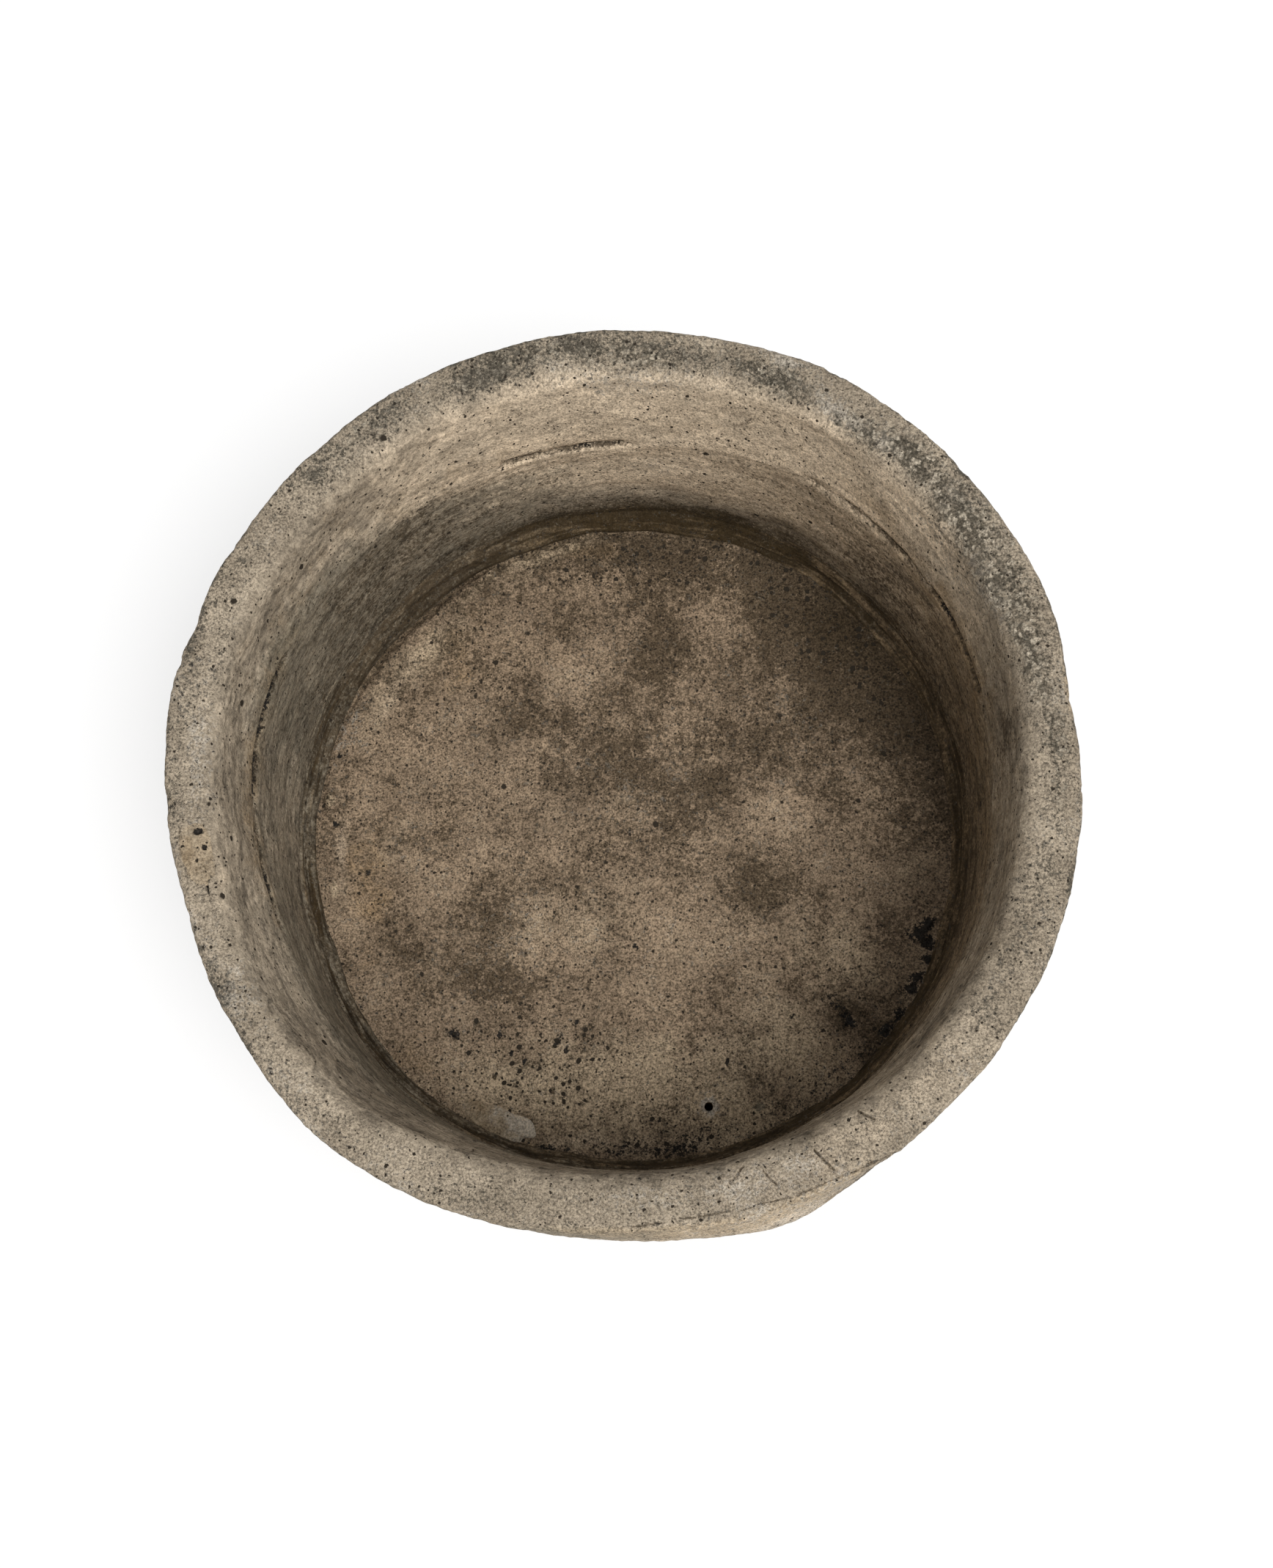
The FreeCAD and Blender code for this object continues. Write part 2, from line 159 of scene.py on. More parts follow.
@dataclass(frozen=True)
class PhotoView:
    """Camera that took the photograph, standing almost over the trough."""

    place: tuple[float, float, float] = (0.075, -0.445, 1.854)
    lean: float = math.radians(8.0)
    sway: float = math.radians(-2.31)
    lens: float = 36.3
    sensor: float = 36.0
    shift_right: float = 0.001
    shift_up: float = 0.142

    def axes(self) -> tuple[np.ndarray, np.ndarray, np.ndarray]:
        """Gives the camera's own directions.

        Returns:
            Unit vectors to the right, upwards and forwards in the picture.
        """
        forward = np.array([math.tan(self.sway), math.tan(self.lean), -1.0])
        forward /= np.linalg.norm(forward)
        right = np.cross(forward, (0.0, 1.0, 0.0))
        right /= np.linalg.norm(right)
        return right, np.cross(right, forward), forward

    def pixels(self, points: np.ndarray) -> np.ndarray:
        """Finds where points of the trough lie in the photograph.

        Args:
            points: Places in metres, one row each.

        Returns:
            Pixel positions, one row each.
        """
        offsets = points - np.array(self.place)
        right, up, forward = (offsets @ axis for axis in self.axes())
        focal = self.lens / self.sensor * IMAGE_HEIGHT
        across = IMAGE_WIDTH / 2 - self.shift_right * IMAGE_HEIGHT + focal * right / forward
        down = IMAGE_HEIGHT / 2 + self.shift_up * IMAGE_HEIGHT - focal * up / forward
        return np.column_stack((across, down))

    def make_camera(self) -> None:
        """Creates the scene's camera at the photograph's viewing angle."""
        data = bpy.data.cameras.new("photo_view")
        data.lens = self.lens
        data.sensor_width = self.sensor
        data.shift_x = self.shift_right
        data.shift_y = self.shift_up
        camera = bpy.data.objects.new("photo_view", data)
        right, up, forward = (Vector(axis) for axis in self.axes())
        turn = Matrix((right, up, -forward)).transposed().to_4x4()
        camera.matrix_world = Matrix.Translation(self.place) @ turn
        bpy.context.collection.objects.link(camera)
        bpy.context.scene.camera = camera


class StoneNoise:
    """Seeded gradient noise over space, used to roughen the stone."""

    TABLE = 256

    def __init__(self, seed: int) -> None:
        """Shuffles the lattice.

        Args:
            seed: Number that fixes the shuffle.
        """
        draw = np.random.default_rng(seed)
        self._order = draw.permutation(self.TABLE)
        slopes = draw.normal(size=(self.TABLE, 3))
        self._slopes = slopes / np.linalg.norm(slopes, axis=1, keepdims=True)

    def at(self, points: np.ndarray) -> np.ndarray:
        """Gives one layer of noise.

        Args:
            points: Places in lattice units, one row each.

        Returns:
            Values between about -0.7 and 0.7.
        """
        cell = np.floor(points).astype(int)
        inside = points - cell
        fade = inside**3 * (inside * (inside * 6.0 - 15.0) + 10.0)
        total = np.zeros(len(points))
        for corner in itertools.product((0, 1), repeat=3):
            step = np.array(corner)
            key = np.zeros(len(points), dtype=int)
            for axis in range(3):
                key = self._order[(key + cell[:, axis] + step[axis]) % self.TABLE]
            reach = np.where(step == 1, fade, 1.0 - fade).prod(axis=1)
            total += reach * (self._slopes[key] * (inside - step)).sum(axis=1)
        return total

    def layers(self, points: np.ndarray, scale: float | Colour, count: int) -> np.ndarray:
        """Adds layers of noise, each twice as fine and half as strong.

        Args:
            points: Places in metres, one row each.
            scale: Lattice cells per metre, one number or one for each axis.
            count: Number of layers.

        Returns:
            Values between about -1 and 1.
        """
        spread = points * np.array(scale)
        total = np.zeros(len(points))
        for layer in range(count):
            total += self.at(spread * 2.0**layer + 17.3 * layer) / 2.0**layer
        return total


@dataclass(frozen=True)
class RoundCurve:
    """Value that changes round the trough, given at a few azimuths in degrees."""

    points: tuple[tuple[float, float], ...]
    blur: float = 7.0
    blur_steps: int = 7

    def at(self, azimuth: np.ndarray) -> np.ndarray:
        """Gives the value at azimuths, smoothed over the blur.

        Args:
            azimuth: Directions in degrees.

        Returns:
            The value in each direction.
        """
        angles, values = zip(*self.points)
        offsets = np.linspace(-self.blur, self.blur, self.blur_steps)
        rows = [np.interp(azimuth + turn, angles, values, period=360.0) for turn in offsets]
        return np.mean(rows, axis=0)


def arc_between(azimuth: np.ndarray, centre: float) -> np.ndarray:
    """Gives the turn from a centre direction, in degrees from -180 to 180."""
    return (azimuth - centre + 180.0) % 360.0 - 180.0


def rise(value: np.ndarray, low: float, high: float) -> np.ndarray:
    """Eases from 0 at low to 1 at high."""
    share = np.clip((value - low) / (high - low), 0.0, 1.0)
    return share * share * (3.0 - 2.0 * share)


def mostly(facing: np.ndarray) -> np.ndarray:
    """Gives 1 to vertices that clearly face one way and 0 to those that hardly do."""
    return rise(facing, 0.2, 0.6)


@dataclass(frozen=True)
class Spot:
    """Ellipse in the photograph's pixels."""

    across: float
    down: float
    wide: float
    tall: float
    turn: float = 0.0

    def spread(self, pixels: np.ndarray) -> np.ndarray:
        """Measures how far pixels lie from the centre.

        Args:
            pixels: Pixel positions, one row each.

        Returns:
            Squared distance, 1 on the ellipse.
        """
        offset = pixels - (self.across, self.down)
        cos, sin = math.cos(math.radians(self.turn)), math.sin(math.radians(self.turn))
        along = (offset[:, 0] * cos + offset[:, 1] * sin) / self.wide
        beside = (offset[:, 1] * cos - offset[:, 0] * sin) / self.tall
        return along**2 + beside**2


@dataclass(frozen=True)
class Mark(Spot):
    """Stain with soft edges, its strength given at its centre."""

    strength: float = 1.0


Marks = dict[Tint, tuple[Mark, ...]]


@dataclass(frozen=True)
class Dent(Spot):
    """Pit in the surface, or a lump where its depth is negative."""

    depth: float = 0.0
    tint: Tint | None = None


@dataclass(frozen=True)
class Scratch:
    """Cut along a line of pixels."""

    line: tuple[Pixel, ...]
    width: float
    depth: float

    def distance(self, pixels: np.ndarray) -> np.ndarray:
        """Measures how far pixels lie from the line.

        Args:
            pixels: Pixel positions, one row each.

        Returns:
            Distance to the nearest stretch of the line, in pixels.
        """
        nearest = np.full(len(pixels), np.inf)
        for start, end in itertools.pairwise(np.array(self.line)):
            run = end - start
            share = np.clip((pixels - start) @ run / (run @ run), 0.0, 1.0)
            gap = np.linalg.norm(pixels - start - share[:, None] * run, axis=1)
            nearest = np.minimum(nearest, gap)
        return nearest


WALL_STRUCK = RoundCurve((
    (5, 0.8), (45, 0.6), (70, 0.45), (100, 0.45), (120, 0.8), (165, 1.0), (225, 1.1), (300, 1.1),
    (335, 1.0),
))
OUTSIDE_STRUCK = 0.35


class Surface:
    """Vertices of one mesh, opened for sculpting and painting."""

    def __init__(self, mesh: bpy.types.Mesh, view: PhotoView) -> None:
        """Reads the vertices and their directions.

        Args:
            mesh: The mesh as its operators left it.
            view: The photograph's camera.
        """
        self.mesh = mesh
        self.view = view
        self.rest = self._read("co")
        self.points = self.rest.copy()
        self.normals = self._read("normal")
        self.radius = np.hypot(self.rest[:, 0], self.rest[:, 1])
        self.height = self.rest[:, 2]
        self.azimuth = np.degrees(np.arctan2(self.rest[:, 1], self.rest[:, 0])) % 360.0
        turn = np.radians(self.azimuth)
        self.outward = np.column_stack((np.cos(turn), np.sin(turn), np.zeros(len(turn))))
        facing = (self.normals * self.outward).sum(axis=1)
        self.outer = np.clip(facing, 0.0, 1.0)
        self.inner = np.clip(-facing, 0.0, 1.0)
        self.upper = np.clip(self.normals[:, 2], 0.0, 1.0)
        self.look()
        self.tints = {tint: np.zeros(len(turn)) for tint in Tint}
        self.struck = self.inner * WALL_STRUCK.at(self.azimuth) + OUTSIDE_STRUCK * self.outer

    def _read(self, name: str) -> np.ndarray:
        """Reads one vector for each vertex."""
        flat = np.empty(len(self.mesh.vertices) * 3, dtype=np.float32)
        self.mesh.vertices.foreach_get(name, flat)
        return flat.reshape(-1, 3).astype(float)

    def look(self) -> None:
        """Finds where the vertices now lie in the photograph."""
        self.pixels = self.view.pixels(self.points)

    def push(self, distance: np.ndarray) -> None:
        """Moves each vertex along its normal."""
        self.points += self.normals * distance[:, None]

    def widen(self, distance: np.ndarray) -> None:
        """Moves each vertex away from the trough's axis."""
        self.points += self.outward * distance[:, None]

    def lift(self, distance: np.ndarray) -> None:
        """Moves each vertex upwards."""
        self.points[:, 2] += distance

    def stain(self, tint: Tint, amount: np.ndarray) -> None:
        """Adds to the paint of one tint."""
        self.tints[tint] += amount

    def add_marks(self, marks: Marks, seen: np.ndarray) -> None:
        """Paints stains.

        Args:
            marks: Stains of each tint, placed by pixel.
            seen: How much of each mark a vertex takes, from 0 to 1.
        """
        for tint, places in marks.items():
            for mark in places:
                fade = np.exp(-mark.spread(self.pixels))
                self.stain(tint, mark.strength * fade * seen)

    def add_dents(self, dents: tuple[Dent, ...], seen: np.ndarray) -> None:
        """Presses pits and raises lumps.

        Args:
            dents: Pits placed by pixel.
            seen: How much of each pit a vertex takes, from 0 to 1.
        """
        for dent in dents:
            cup = np.sqrt(np.clip(1.0 - dent.spread(self.pixels), 0.0, 1.0)) * seen
            self.push(-dent.depth * cup)
            if dent.tint:
                self.stain(dent.tint, rise(cup, 0.0, 0.45))

    def add_scratches(self, scratches: tuple[Scratch, ...], seen: np.ndarray) -> None:
        """Cuts scratches and paints shade along them.

        Args:
            scratches: Lines placed by pixel.
            seen: How much of each cut a vertex takes, from 0 to 1.
        """
        for scratch in scratches:
            cut = np.clip(1.0 - scratch.distance(self.pixels) / scratch.width, 0.0, 1.0)
            self.push(-scratch.depth * cut * seen)
            # Painted shade: DAMP darkens each cut, standing in for the shade in its groove.
            self.stain(Tint.DAMP, 0.8 * rise(cut * seen, 0.0, 0.5))

    def store(self) -> None:
        """Writes the sculpted places and the paint back to the mesh."""
        self.mesh.vertices.foreach_set("co", self.points.astype(np.float32).ravel())
        paints = {tint.value: amount for tint, amount in self.tints.items()} | {STRUCK: self.struck}
        for name, amount in paints.items():
            layer = self.mesh.attributes.new(name, "FLOAT", "POINT")
            layer.data.foreach_set("value", np.clip(amount, 0.0, 1.0).astype(np.float32))
        self.mesh.update()


class Graph:
    """Short hand for building a shader node tree."""

    def __init__(self, tree: bpy.types.NodeTree) -> None:
        """Keeps the tree to build in."""
        self.tree = tree

    def add(self, kind: str, **settings: object) -> bpy.types.Node:
        """Adds a node.

        Args:
            kind: Type of the node.
            settings: Properties to set on it.

        Returns:
            The new node.
        """
        node = self.tree.nodes.new(kind)
        for name, value in settings.items():
            setattr(node, name, value)
        return node

    def plug(self, socket: bpy.types.NodeSocket, source: object) -> None:
        """Links a source socket, or sets a plain value.

        Args:
            socket: Input to fill.
            source: Output socket, number or tuple.
        """
        if isinstance(source, bpy.types.NodeSocket):
            self.tree.links.new(source, socket)
        else:
            socket.default_value = source

    def fed(self, node: bpy.types.Node, **sources: object) -> bpy.types.Node:
        """Fills the named inputs of a node.

        Args:
            node: Node to fill.
            sources: Output socket, number or tuple for each input.

        Returns:
            The same node.
        """
        for name, source in sources.items():
            self.plug(node.inputs[name], source)
        return node

    def math(self, operation: str, first: object, second: object) -> bpy.types.NodeSocket:
        """Adds a calculation of two values and gives its result."""
        node = self.add("ShaderNodeMath", operation=operation)
        self.plug(node.inputs[0], first)
        self.plug(node.inputs[1], second)
        return node.outputs[0]

    def remap(
        self, value: object, low: float, high: float, start: float = 0.0, end: float = 1.0
    ) -> bpy.types.NodeSocket:
        """Eases a value from one range to another.

        Args:
            value: Socket to read.
            low: Value that gives start.
            high: Value that gives end.
            start: Result at low.
            end: Result at high.

        Returns:
            The eased value.
        """
        node = self.add("ShaderNodeMapRange", interpolation_type="SMOOTHSTEP")
        for name, source in zip(
            ("Value", "From Min", "From Max", "To Min", "To Max"), (value, low, high, start, end)
        ):
            self.plug(node.inputs[name], source)
        return node.outputs[0]

    def blend(
        self, factor: object, under: object, over: object, mode: str = "MIX"
    ) -> bpy.types.NodeSocket:
        """Lays one colour over another.

        Args:
            factor: How much of the upper colour shows.
            under: Lower colour.
            over: Upper colour.
            mode: Way of blending.

        Returns:
            The mixed colour.
        """
        node = self.add("ShaderNodeMix", data_type="RGBA", blend_type=mode)
        for index, source in ((0, factor), (6, under), (7, over)):
            if isinstance(source, tuple):
                source = (*source, 1.0)
            self.plug(node.inputs[index], source)
        return node.outputs[2]

    def noise(
        self, vector: object, scale: object, detail: float, roughness: float
    ) -> bpy.types.NodeSocket:
        """Adds cloudy noise.

        Args:
            vector: Place to read it at.
            scale: Cells per metre.
            detail: Number of finer layers.
            roughness: Strength of the finer layers.

        Returns:
            Value from 0 to 1.
        """
        node = self.add("ShaderNodeTexNoise")
        self.fed(node, Vector=vector, Scale=scale, Detail=detail, Roughness=roughness)
        return node.outputs["Fac"]

    def stretch(self, vector: object, scale: Colour) -> bpy.types.NodeSocket:
        """Scales the place a pattern is read at, one number for each axis."""
        node = self.fed(self.add("ShaderNodeMapping"), Vector=vector, Scale=scale)
        return node.outputs[0]

    def group(self, group: bpy.types.NodeTree, **sources: object) -> bpy.types.Node:
        """Places a shared group and fills its inputs."""
        return self.fed(self.add("ShaderNodeGroup", node_tree=group), **sources)


def start_material(name: str) -> tuple[bpy.types.Material, Graph, bpy.types.Node]:
    """Starts a material of nodes.

    Args:
        name: Name of the material.

    Returns:
        The material, its graph and its shader.
    """
    material = bpy.data.materials.new(name)
    material.use_nodes = True
    return material, Graph(material.node_tree), material.node_tree.nodes["Principled BSDF"]


@dataclass(frozen=True)
class PoreSort:
    """One sort of pore in the cement, its size given as a share of a cell."""

    name: str
    scale: float
    size: float
    soft: float = 0.3


PORE_SORTS = (
    PoreSort("Fine Pores", 210.0, 0.32),
    PoreSort("Pores", 115.0, 0.25),
    PoreSort("Pits", 34.0, 0.14),
    PoreSort("Holes", 120.0, 0.42, 0.12),
)
STREAK_LAYERS = (
    ((11.0, 11.0, 42.0), 0.25),
    ((42.0, 42.0, 125.0), 0.40),
    ((120.0, 120.0, 270.0), 0.35),
)


class StoneGroups:
    """Shader groups that all the stone finishes share.

    Scales are in cells per metre. A bend has a scale and a reach in metres.
    """

    FINE_SAND = 430.0
    COARSE_SAND = 150.0
    FINE_SHARE = 0.72
    FLECKS = 230.0
    CRUMBS = (95.0, 210.0)
    PORE_BEND = (260.0, 3.5 * MM)
    STREAK_BEND = (22.0, 24 * MM)
    STAIN_BEND = (30.0, 26 * MM)
    CRUST_BEND = (180.0, 6 * MM)

    def __init__(self) -> None:
        """Builds each group once."""
        self.sand = self._build_sand()
        self.streaks = self._build_streaks()
        self.ragged = self._build_ragged()
        self.crust = self._build_crust()

    @staticmethod
    def _open(name: str, inputs: tuple[str, ...], outputs: tuple[str, ...]) -> tuple[Graph, ...]:
        """Starts a group.

        Args:
            name: Name of the group.
            inputs: Names of its inputs; Vector is a vector, the rest are values.
            outputs: Names of its value outputs.

        Returns:
            The graph, its input node and its output node.
        """
        tree = bpy.data.node_groups.new(name, "ShaderNodeTree")
        for label in inputs:
            kind = "NodeSocketVector" if label == "Vector" else "NodeSocketFloat"
            tree.interface.new_socket(label, in_out="INPUT", socket_type=kind)
        for label in outputs:
            tree.interface.new_socket(label, in_out="OUTPUT", socket_type="NodeSocketFloat")
        graph = Graph(tree)
        return graph, graph.add("NodeGroupInput"), graph.add("NodeGroupOutput")

    @staticmethod
    def _bent(graph: Graph, vector: object, scale: float, reach: float) -> object:
        """Bends the place a pattern is read at, so that its lines and edges waver.

        Args:
            graph: Graph to build in.
            vector: Place to bend.
            scale: Bends per metre.
            reach: Largest shift in metres.

        Returns:
            The bent place.
        """
        warp = graph.fed(graph.add("ShaderNodeTexNoise"), Vector=vector, Scale=scale)
        bent = graph.add("ShaderNodeVectorMath", operation="MULTIPLY_ADD")
        for index, part in enumerate((warp.outputs["Color"], (reach, reach, reach), vector)):
            graph.plug(bent.inputs[index], part)
        return bent.outputs[0]

    @staticmethod
    def _pores(graph: Graph, vector: object, cover: object, sort: PoreSort) -> object:
        """Adds scattered round pores.

        Args:
            graph: Graph to build in.
            vector: Place to read them at.
            cover: Share of the cells that hold a pore.
            sort: Sort of pore.

        Returns:
            Mask of the pores.
        """
        cells = graph.fed(graph.add("ShaderNodeTexVoronoi"), Vector=vector, Scale=sort.scale)
        lot = graph.add("ShaderNodeSeparateColor")
        graph.plug(lot.inputs[0], cells.outputs["Color"])
        drawn = graph.math("SUBTRACT", graph.math("ADD", lot.outputs[0], cover), 1.0)
        radius = graph.math("MULTIPLY", graph.math("DIVIDE", drawn, cover), sort.size)
        depth = graph.math("SUBTRACT", radius, cells.outputs["Distance"])
        return graph.remap(depth, 0.0, sort.size * sort.soft)

    def _build_sand(self) -> bpy.types.NodeTree:
        """Builds sand grains with scattered pores and clustered holes.

        Returns:
            Group with Grain, Pores and Relief outputs.
        """
        names = tuple(sort.name for sort in PORE_SORTS)
        graph, source, result = self._open(
            "sand_and_pores", ("Vector", *names), ("Grain", "Pores", "Relief")
        )
        vector = source.outputs["Vector"]
        fine = graph.noise(vector, self.FINE_SAND, 2.0, 0.75)
        coarse = graph.noise(vector, self.COARSE_SAND, 3.0, 0.7)
        grain = graph.math(
            "ADD",
            graph.math("MULTIPLY", fine, self.FINE_SHARE),
            graph.math("MULTIPLY", coarse, 1.0 - self.FINE_SHARE),
        )
        place = self._bent(graph, vector, *self.PORE_BEND)
        pores: object = 0.0
        for sort in PORE_SORTS:
            mask = self._pores(graph, place, source.outputs[sort.name], sort)
            pores = graph.math("MAXIMUM", pores, mask)
        relief = graph.math("SUBTRACT", grain, pores)
        graph.fed(result, Grain=grain, Pores=pores, Relief=relief)
        return graph.tree

    def _build_streaks(self) -> bpy.types.NodeTree:
        """Builds the short drag marks that the striking board left round the wall.

        Returns:
            Group with a Streak output.
        """
        graph, source, result = self._open("drag_streaks", ("Vector",), ("Streak",))
        vector = self._bent(graph, source.outputs["Vector"], *self.STREAK_BEND)
        streak: object = 0.0
        for scale, share in STREAK_LAYERS:
            lines = graph.noise(graph.stretch(vector, scale), 1.0, 2.0, 0.65)
            streak = graph.math("ADD", streak, graph.math("MULTIPLY", lines, share))
        graph.fed(result, Streak=streak)
        return graph.tree

    def _build_ragged(self) -> bpy.types.NodeTree:
        """Builds the broken edge of a stain.

        Returns:
            Group that turns a soft Mask into a Factor with a ragged edge.
        """
        graph, source, result = self._open(
            "ragged_stain", ("Vector", "Mask", "Scale", "Break", "Speckle", "Edge"), ("Factor",)
        )
        bent = self._bent(graph, source.outputs["Vector"], *self.STAIN_BEND)
        cloud = graph.noise(bent, source.outputs["Scale"], 4.0, 0.68)
        flecks = graph.noise(source.outputs["Vector"], self.FLECKS, 3.0, 0.80)
        level = source.outputs["Mask"]
        for noise, strength in ((cloud, "Break"), (flecks, "Speckle")):
            swing = graph.math("SUBTRACT", noise, 0.5)
            swing = graph.math("MULTIPLY", swing, source.outputs[strength])
            level = graph.math("ADD", level, swing)
        low = graph.math("SUBTRACT", 0.5, source.outputs["Edge"])
        high = graph.math("ADD", 0.5, source.outputs["Edge"])
        graph.fed(result, Factor=graph.remap(level, low, high))
        return graph.tree

    def _build_crust(self) -> bpy.types.NodeTree:
        """Builds crumbs of lichen crust with dark crevices between them.

        Returns:
            Group with a Crumb output, 0 in a crevice and 1 on a crumb.
        """
        graph, source, result = self._open("lichen_crust", ("Vector",), ("Crumb",))
        vector = self._bent(graph, source.outputs["Vector"], *self.CRUST_BEND)
        crumb: object = 0.0
        for scale in self.CRUMBS:
            cells = graph.fed(graph.add("ShaderNodeTexVoronoi"), Vector=vector, Scale=scale)
            top = graph.remap(cells.outputs["Distance"], 0.68, 0.22, 0.0, 1.0 / len(self.CRUMBS))
            crumb = graph.math("ADD", crumb, top)
        graph.fed(result, Crumb=graph.remap(crumb, 0.25, 0.9))
        return graph.tree


@dataclass(frozen=True)
class Stain:
    """How one tint lies on the stone."""

    colour: Colour
    scale: float
    breakup: float
    speckle: float
    edge: float
    cover: float


STAINS: dict[Tint, Stain] = {
    Tint.OCHRE: Stain((0.330, 0.215, 0.105), 40.0, 1.3, 0.8, 0.38, 0.70),
    Tint.SAND: Stain((0.740, 0.595, 0.430), 26.0, 0.8, 0.5, 0.45, 0.94),
    Tint.FRESH: Stain((0.430, 0.335, 0.225), 60.0, 0.8, 0.8, 0.40, 0.85),
    Tint.ALGAE: Stain((0.185, 0.163, 0.122), 45.0, 1.3, 1.2, 0.40, 0.75),
    Tint.EARTH: Stain((0.200, 0.136, 0.072), 50.0, 0.8, 0.8, 0.50, 0.85),
    Tint.MUD: Stain((0.040, 0.026, 0.011), 35.0, 0.8, 1.2, 0.48, 0.97),
    Tint.DAMP: Stain((0.058, 0.041, 0.024), 55.0, 1.5, 2.5, 0.34, 0.84),
    Tint.PALE: Stain((0.470, 0.420, 0.350), 80.0, 1.0, 2.4, 0.26, 0.70),
    Tint.LICHEN: Stain((0.062, 0.056, 0.044), 80.0, 1.1, 2.6, 0.26, 0.85),
    Tint.TAR: Stain((0.016, 0.015, 0.014), 160.0, 1.2, 2.6, 0.12, 0.95),
}
CRUST = Stain((0.070, 0.060, 0.044), 60.0, 1.2, 1.6, 0.28, 0.88)
CRUMB: Colour = (0.480, 0.415, 0.320)


@dataclass(frozen=True)
class StoneFinish:
    """Weathered cement-bound stone."""

    name: str
    light: Colour
    dark: Colour
    fine_pores: float
    pores: float
    pits: float
    pore_colour: Colour = (0.034, 0.027, 0.019)
    pitted_fine: float = 0.5
    pitted_pores: float = 0.9
    cloud_scale: float = 14.0
    grain_contrast: float = 1.35
    struck_grain: float = 0.40
    streak_contrast: float = 1.4
    roughness: tuple[float, float] = (0.97, 0.82)
    gloss: float = 0.12
    bump_strength: float = 0.8
    bump_depth: float = 1.4 * MM

    def material(self, groups: StoneGroups) -> bpy.types.Material:
        """Builds the material.

        Args:
            groups: Shared shader groups.

        Returns:
            The finished material.
        """
        material, graph, shader = start_material(self.name)
        place = graph.add("ShaderNodeTexCoord").outputs["Object"]
        sand = graph.group(
            groups.sand,
            Vector=place,
            Pores=self._denser(graph, self.pores, self.pitted_pores),
            Pits=self.pits,
            Holes=graph.remap(self._paint(graph, Tint.PITTED), 0.30, 1.0),
            **{"Fine Pores": self._denser(graph, self.fine_pores, self.pitted_fine)},
        )
        cloud = graph.noise(place, self.cloud_scale, 6.0, 0.62)
        colour = graph.blend(graph.remap(cloud, 0.32, 0.68), self.dark, self.light)
        for tint, stain in STAINS.items():
            cover = self._mask(graph, groups, tint, stain, place)
            colour = graph.blend(cover, colour, stain.colour)
        crumb = graph.group(groups.crust, Vector=place).outputs["Crumb"]
        crusted = self._mask(graph, groups, Tint.CRUST, CRUST, place)
        colour = graph.blend(crusted, colour, graph.blend(crumb, CRUST.colour, CRUMB))
        grain = self._swing(graph, sand.outputs["Grain"], self.grain_contrast)
        struck = graph.add("ShaderNodeAttribute", attribute_name=STRUCK).outputs["Fac"]
        grainy = graph.remap(struck, 0.0, 1.0, 1.0, self.struck_grain)
        colour = graph.blend(grainy, colour, grain, "MULTIPLY")
        streak = graph.group(groups.streaks, Vector=place).outputs["Streak"]
        lines = self._swing(graph, streak, self.streak_contrast)
        colour = graph.blend(struck, colour, graph.blend(1.0, colour, lines, "MULTIPLY"))
        colour = graph.blend(sand.outputs["Pores"], colour, self.pore_colour)
        graph.plug(shader.inputs["Base Color"], colour)
        rough = graph.remap(sand.outputs["Grain"], 0.2, 0.8, *self.roughness)
        graph.plug(shader.inputs["Roughness"], rough)
        shader.inputs["Specular IOR Level"].default_value = self.gloss
        bump = graph.add("ShaderNodeBump")
        bump.inputs["Strength"].default_value = self.bump_strength
        bump.inputs["Distance"].default_value = self.bump_depth
        height = graph.math("ADD", sand.outputs["Relief"], graph.math("MULTIPLY", streak, struck))
        height = graph.math("ADD", height, graph.math("MULTIPLY", crumb, crusted))
        graph.plug(bump.inputs["Height"], height)
        graph.plug(shader.inputs["Normal"], bump.outputs[0])
        return material

    @staticmethod
    def _paint(graph: Graph, tint: Tint) -> bpy.types.NodeSocket:
        """Reads the paint of one tint."""
        return graph.add("ShaderNodeAttribute", attribute_name=tint.value).outputs["Fac"]

    @staticmethod
    def _swing(graph: Graph, value: bpy.types.NodeSocket, contrast: float) -> bpy.types.NodeSocket:
        """Turns a value round 0.5 into a brightness round 1 that swings by the contrast."""
        return graph.remap(value, 0.3, 0.7, 1.0 - contrast / 2.0, 1.0 + contrast / 2.0)

    @staticmethod
    def _denser(graph: Graph, cover: float, gain: float) -> bpy.types.NodeSocket:
        """Raises the share of pores where the stone is painted as pitted."""
        pitted = StoneFinish._paint(graph, Tint.PITTED)
        return graph.math("ADD", cover, graph.math("MULTIPLY", pitted, gain))

    @staticmethod
    def _mask(
        graph: Graph, groups: StoneGroups, tint: Tint, stain: Stain, place: bpy.types.NodeSocket
    ) -> bpy.types.NodeSocket:
        """Gives how far a painted stain covers the stone.

        Args:
            graph: Graph of the material.
            groups: Shared shader groups.
            tint: Paint to read.
            stain: How it lies on the stone.
            place: Object coordinates.

        Returns:
            Cover with a ragged edge, from 0 to 1.
        """
        ragged = graph.group(
            groups.ragged,
            Vector=place,
            Mask=StoneFinish._paint(graph, tint),
            Scale=stain.scale,
            Break=stain.breakup,
            Speckle=stain.speckle,
            Edge=stain.edge,
        )
        return graph.math("MULTIPLY", ragged.outputs["Factor"], stain.cover)


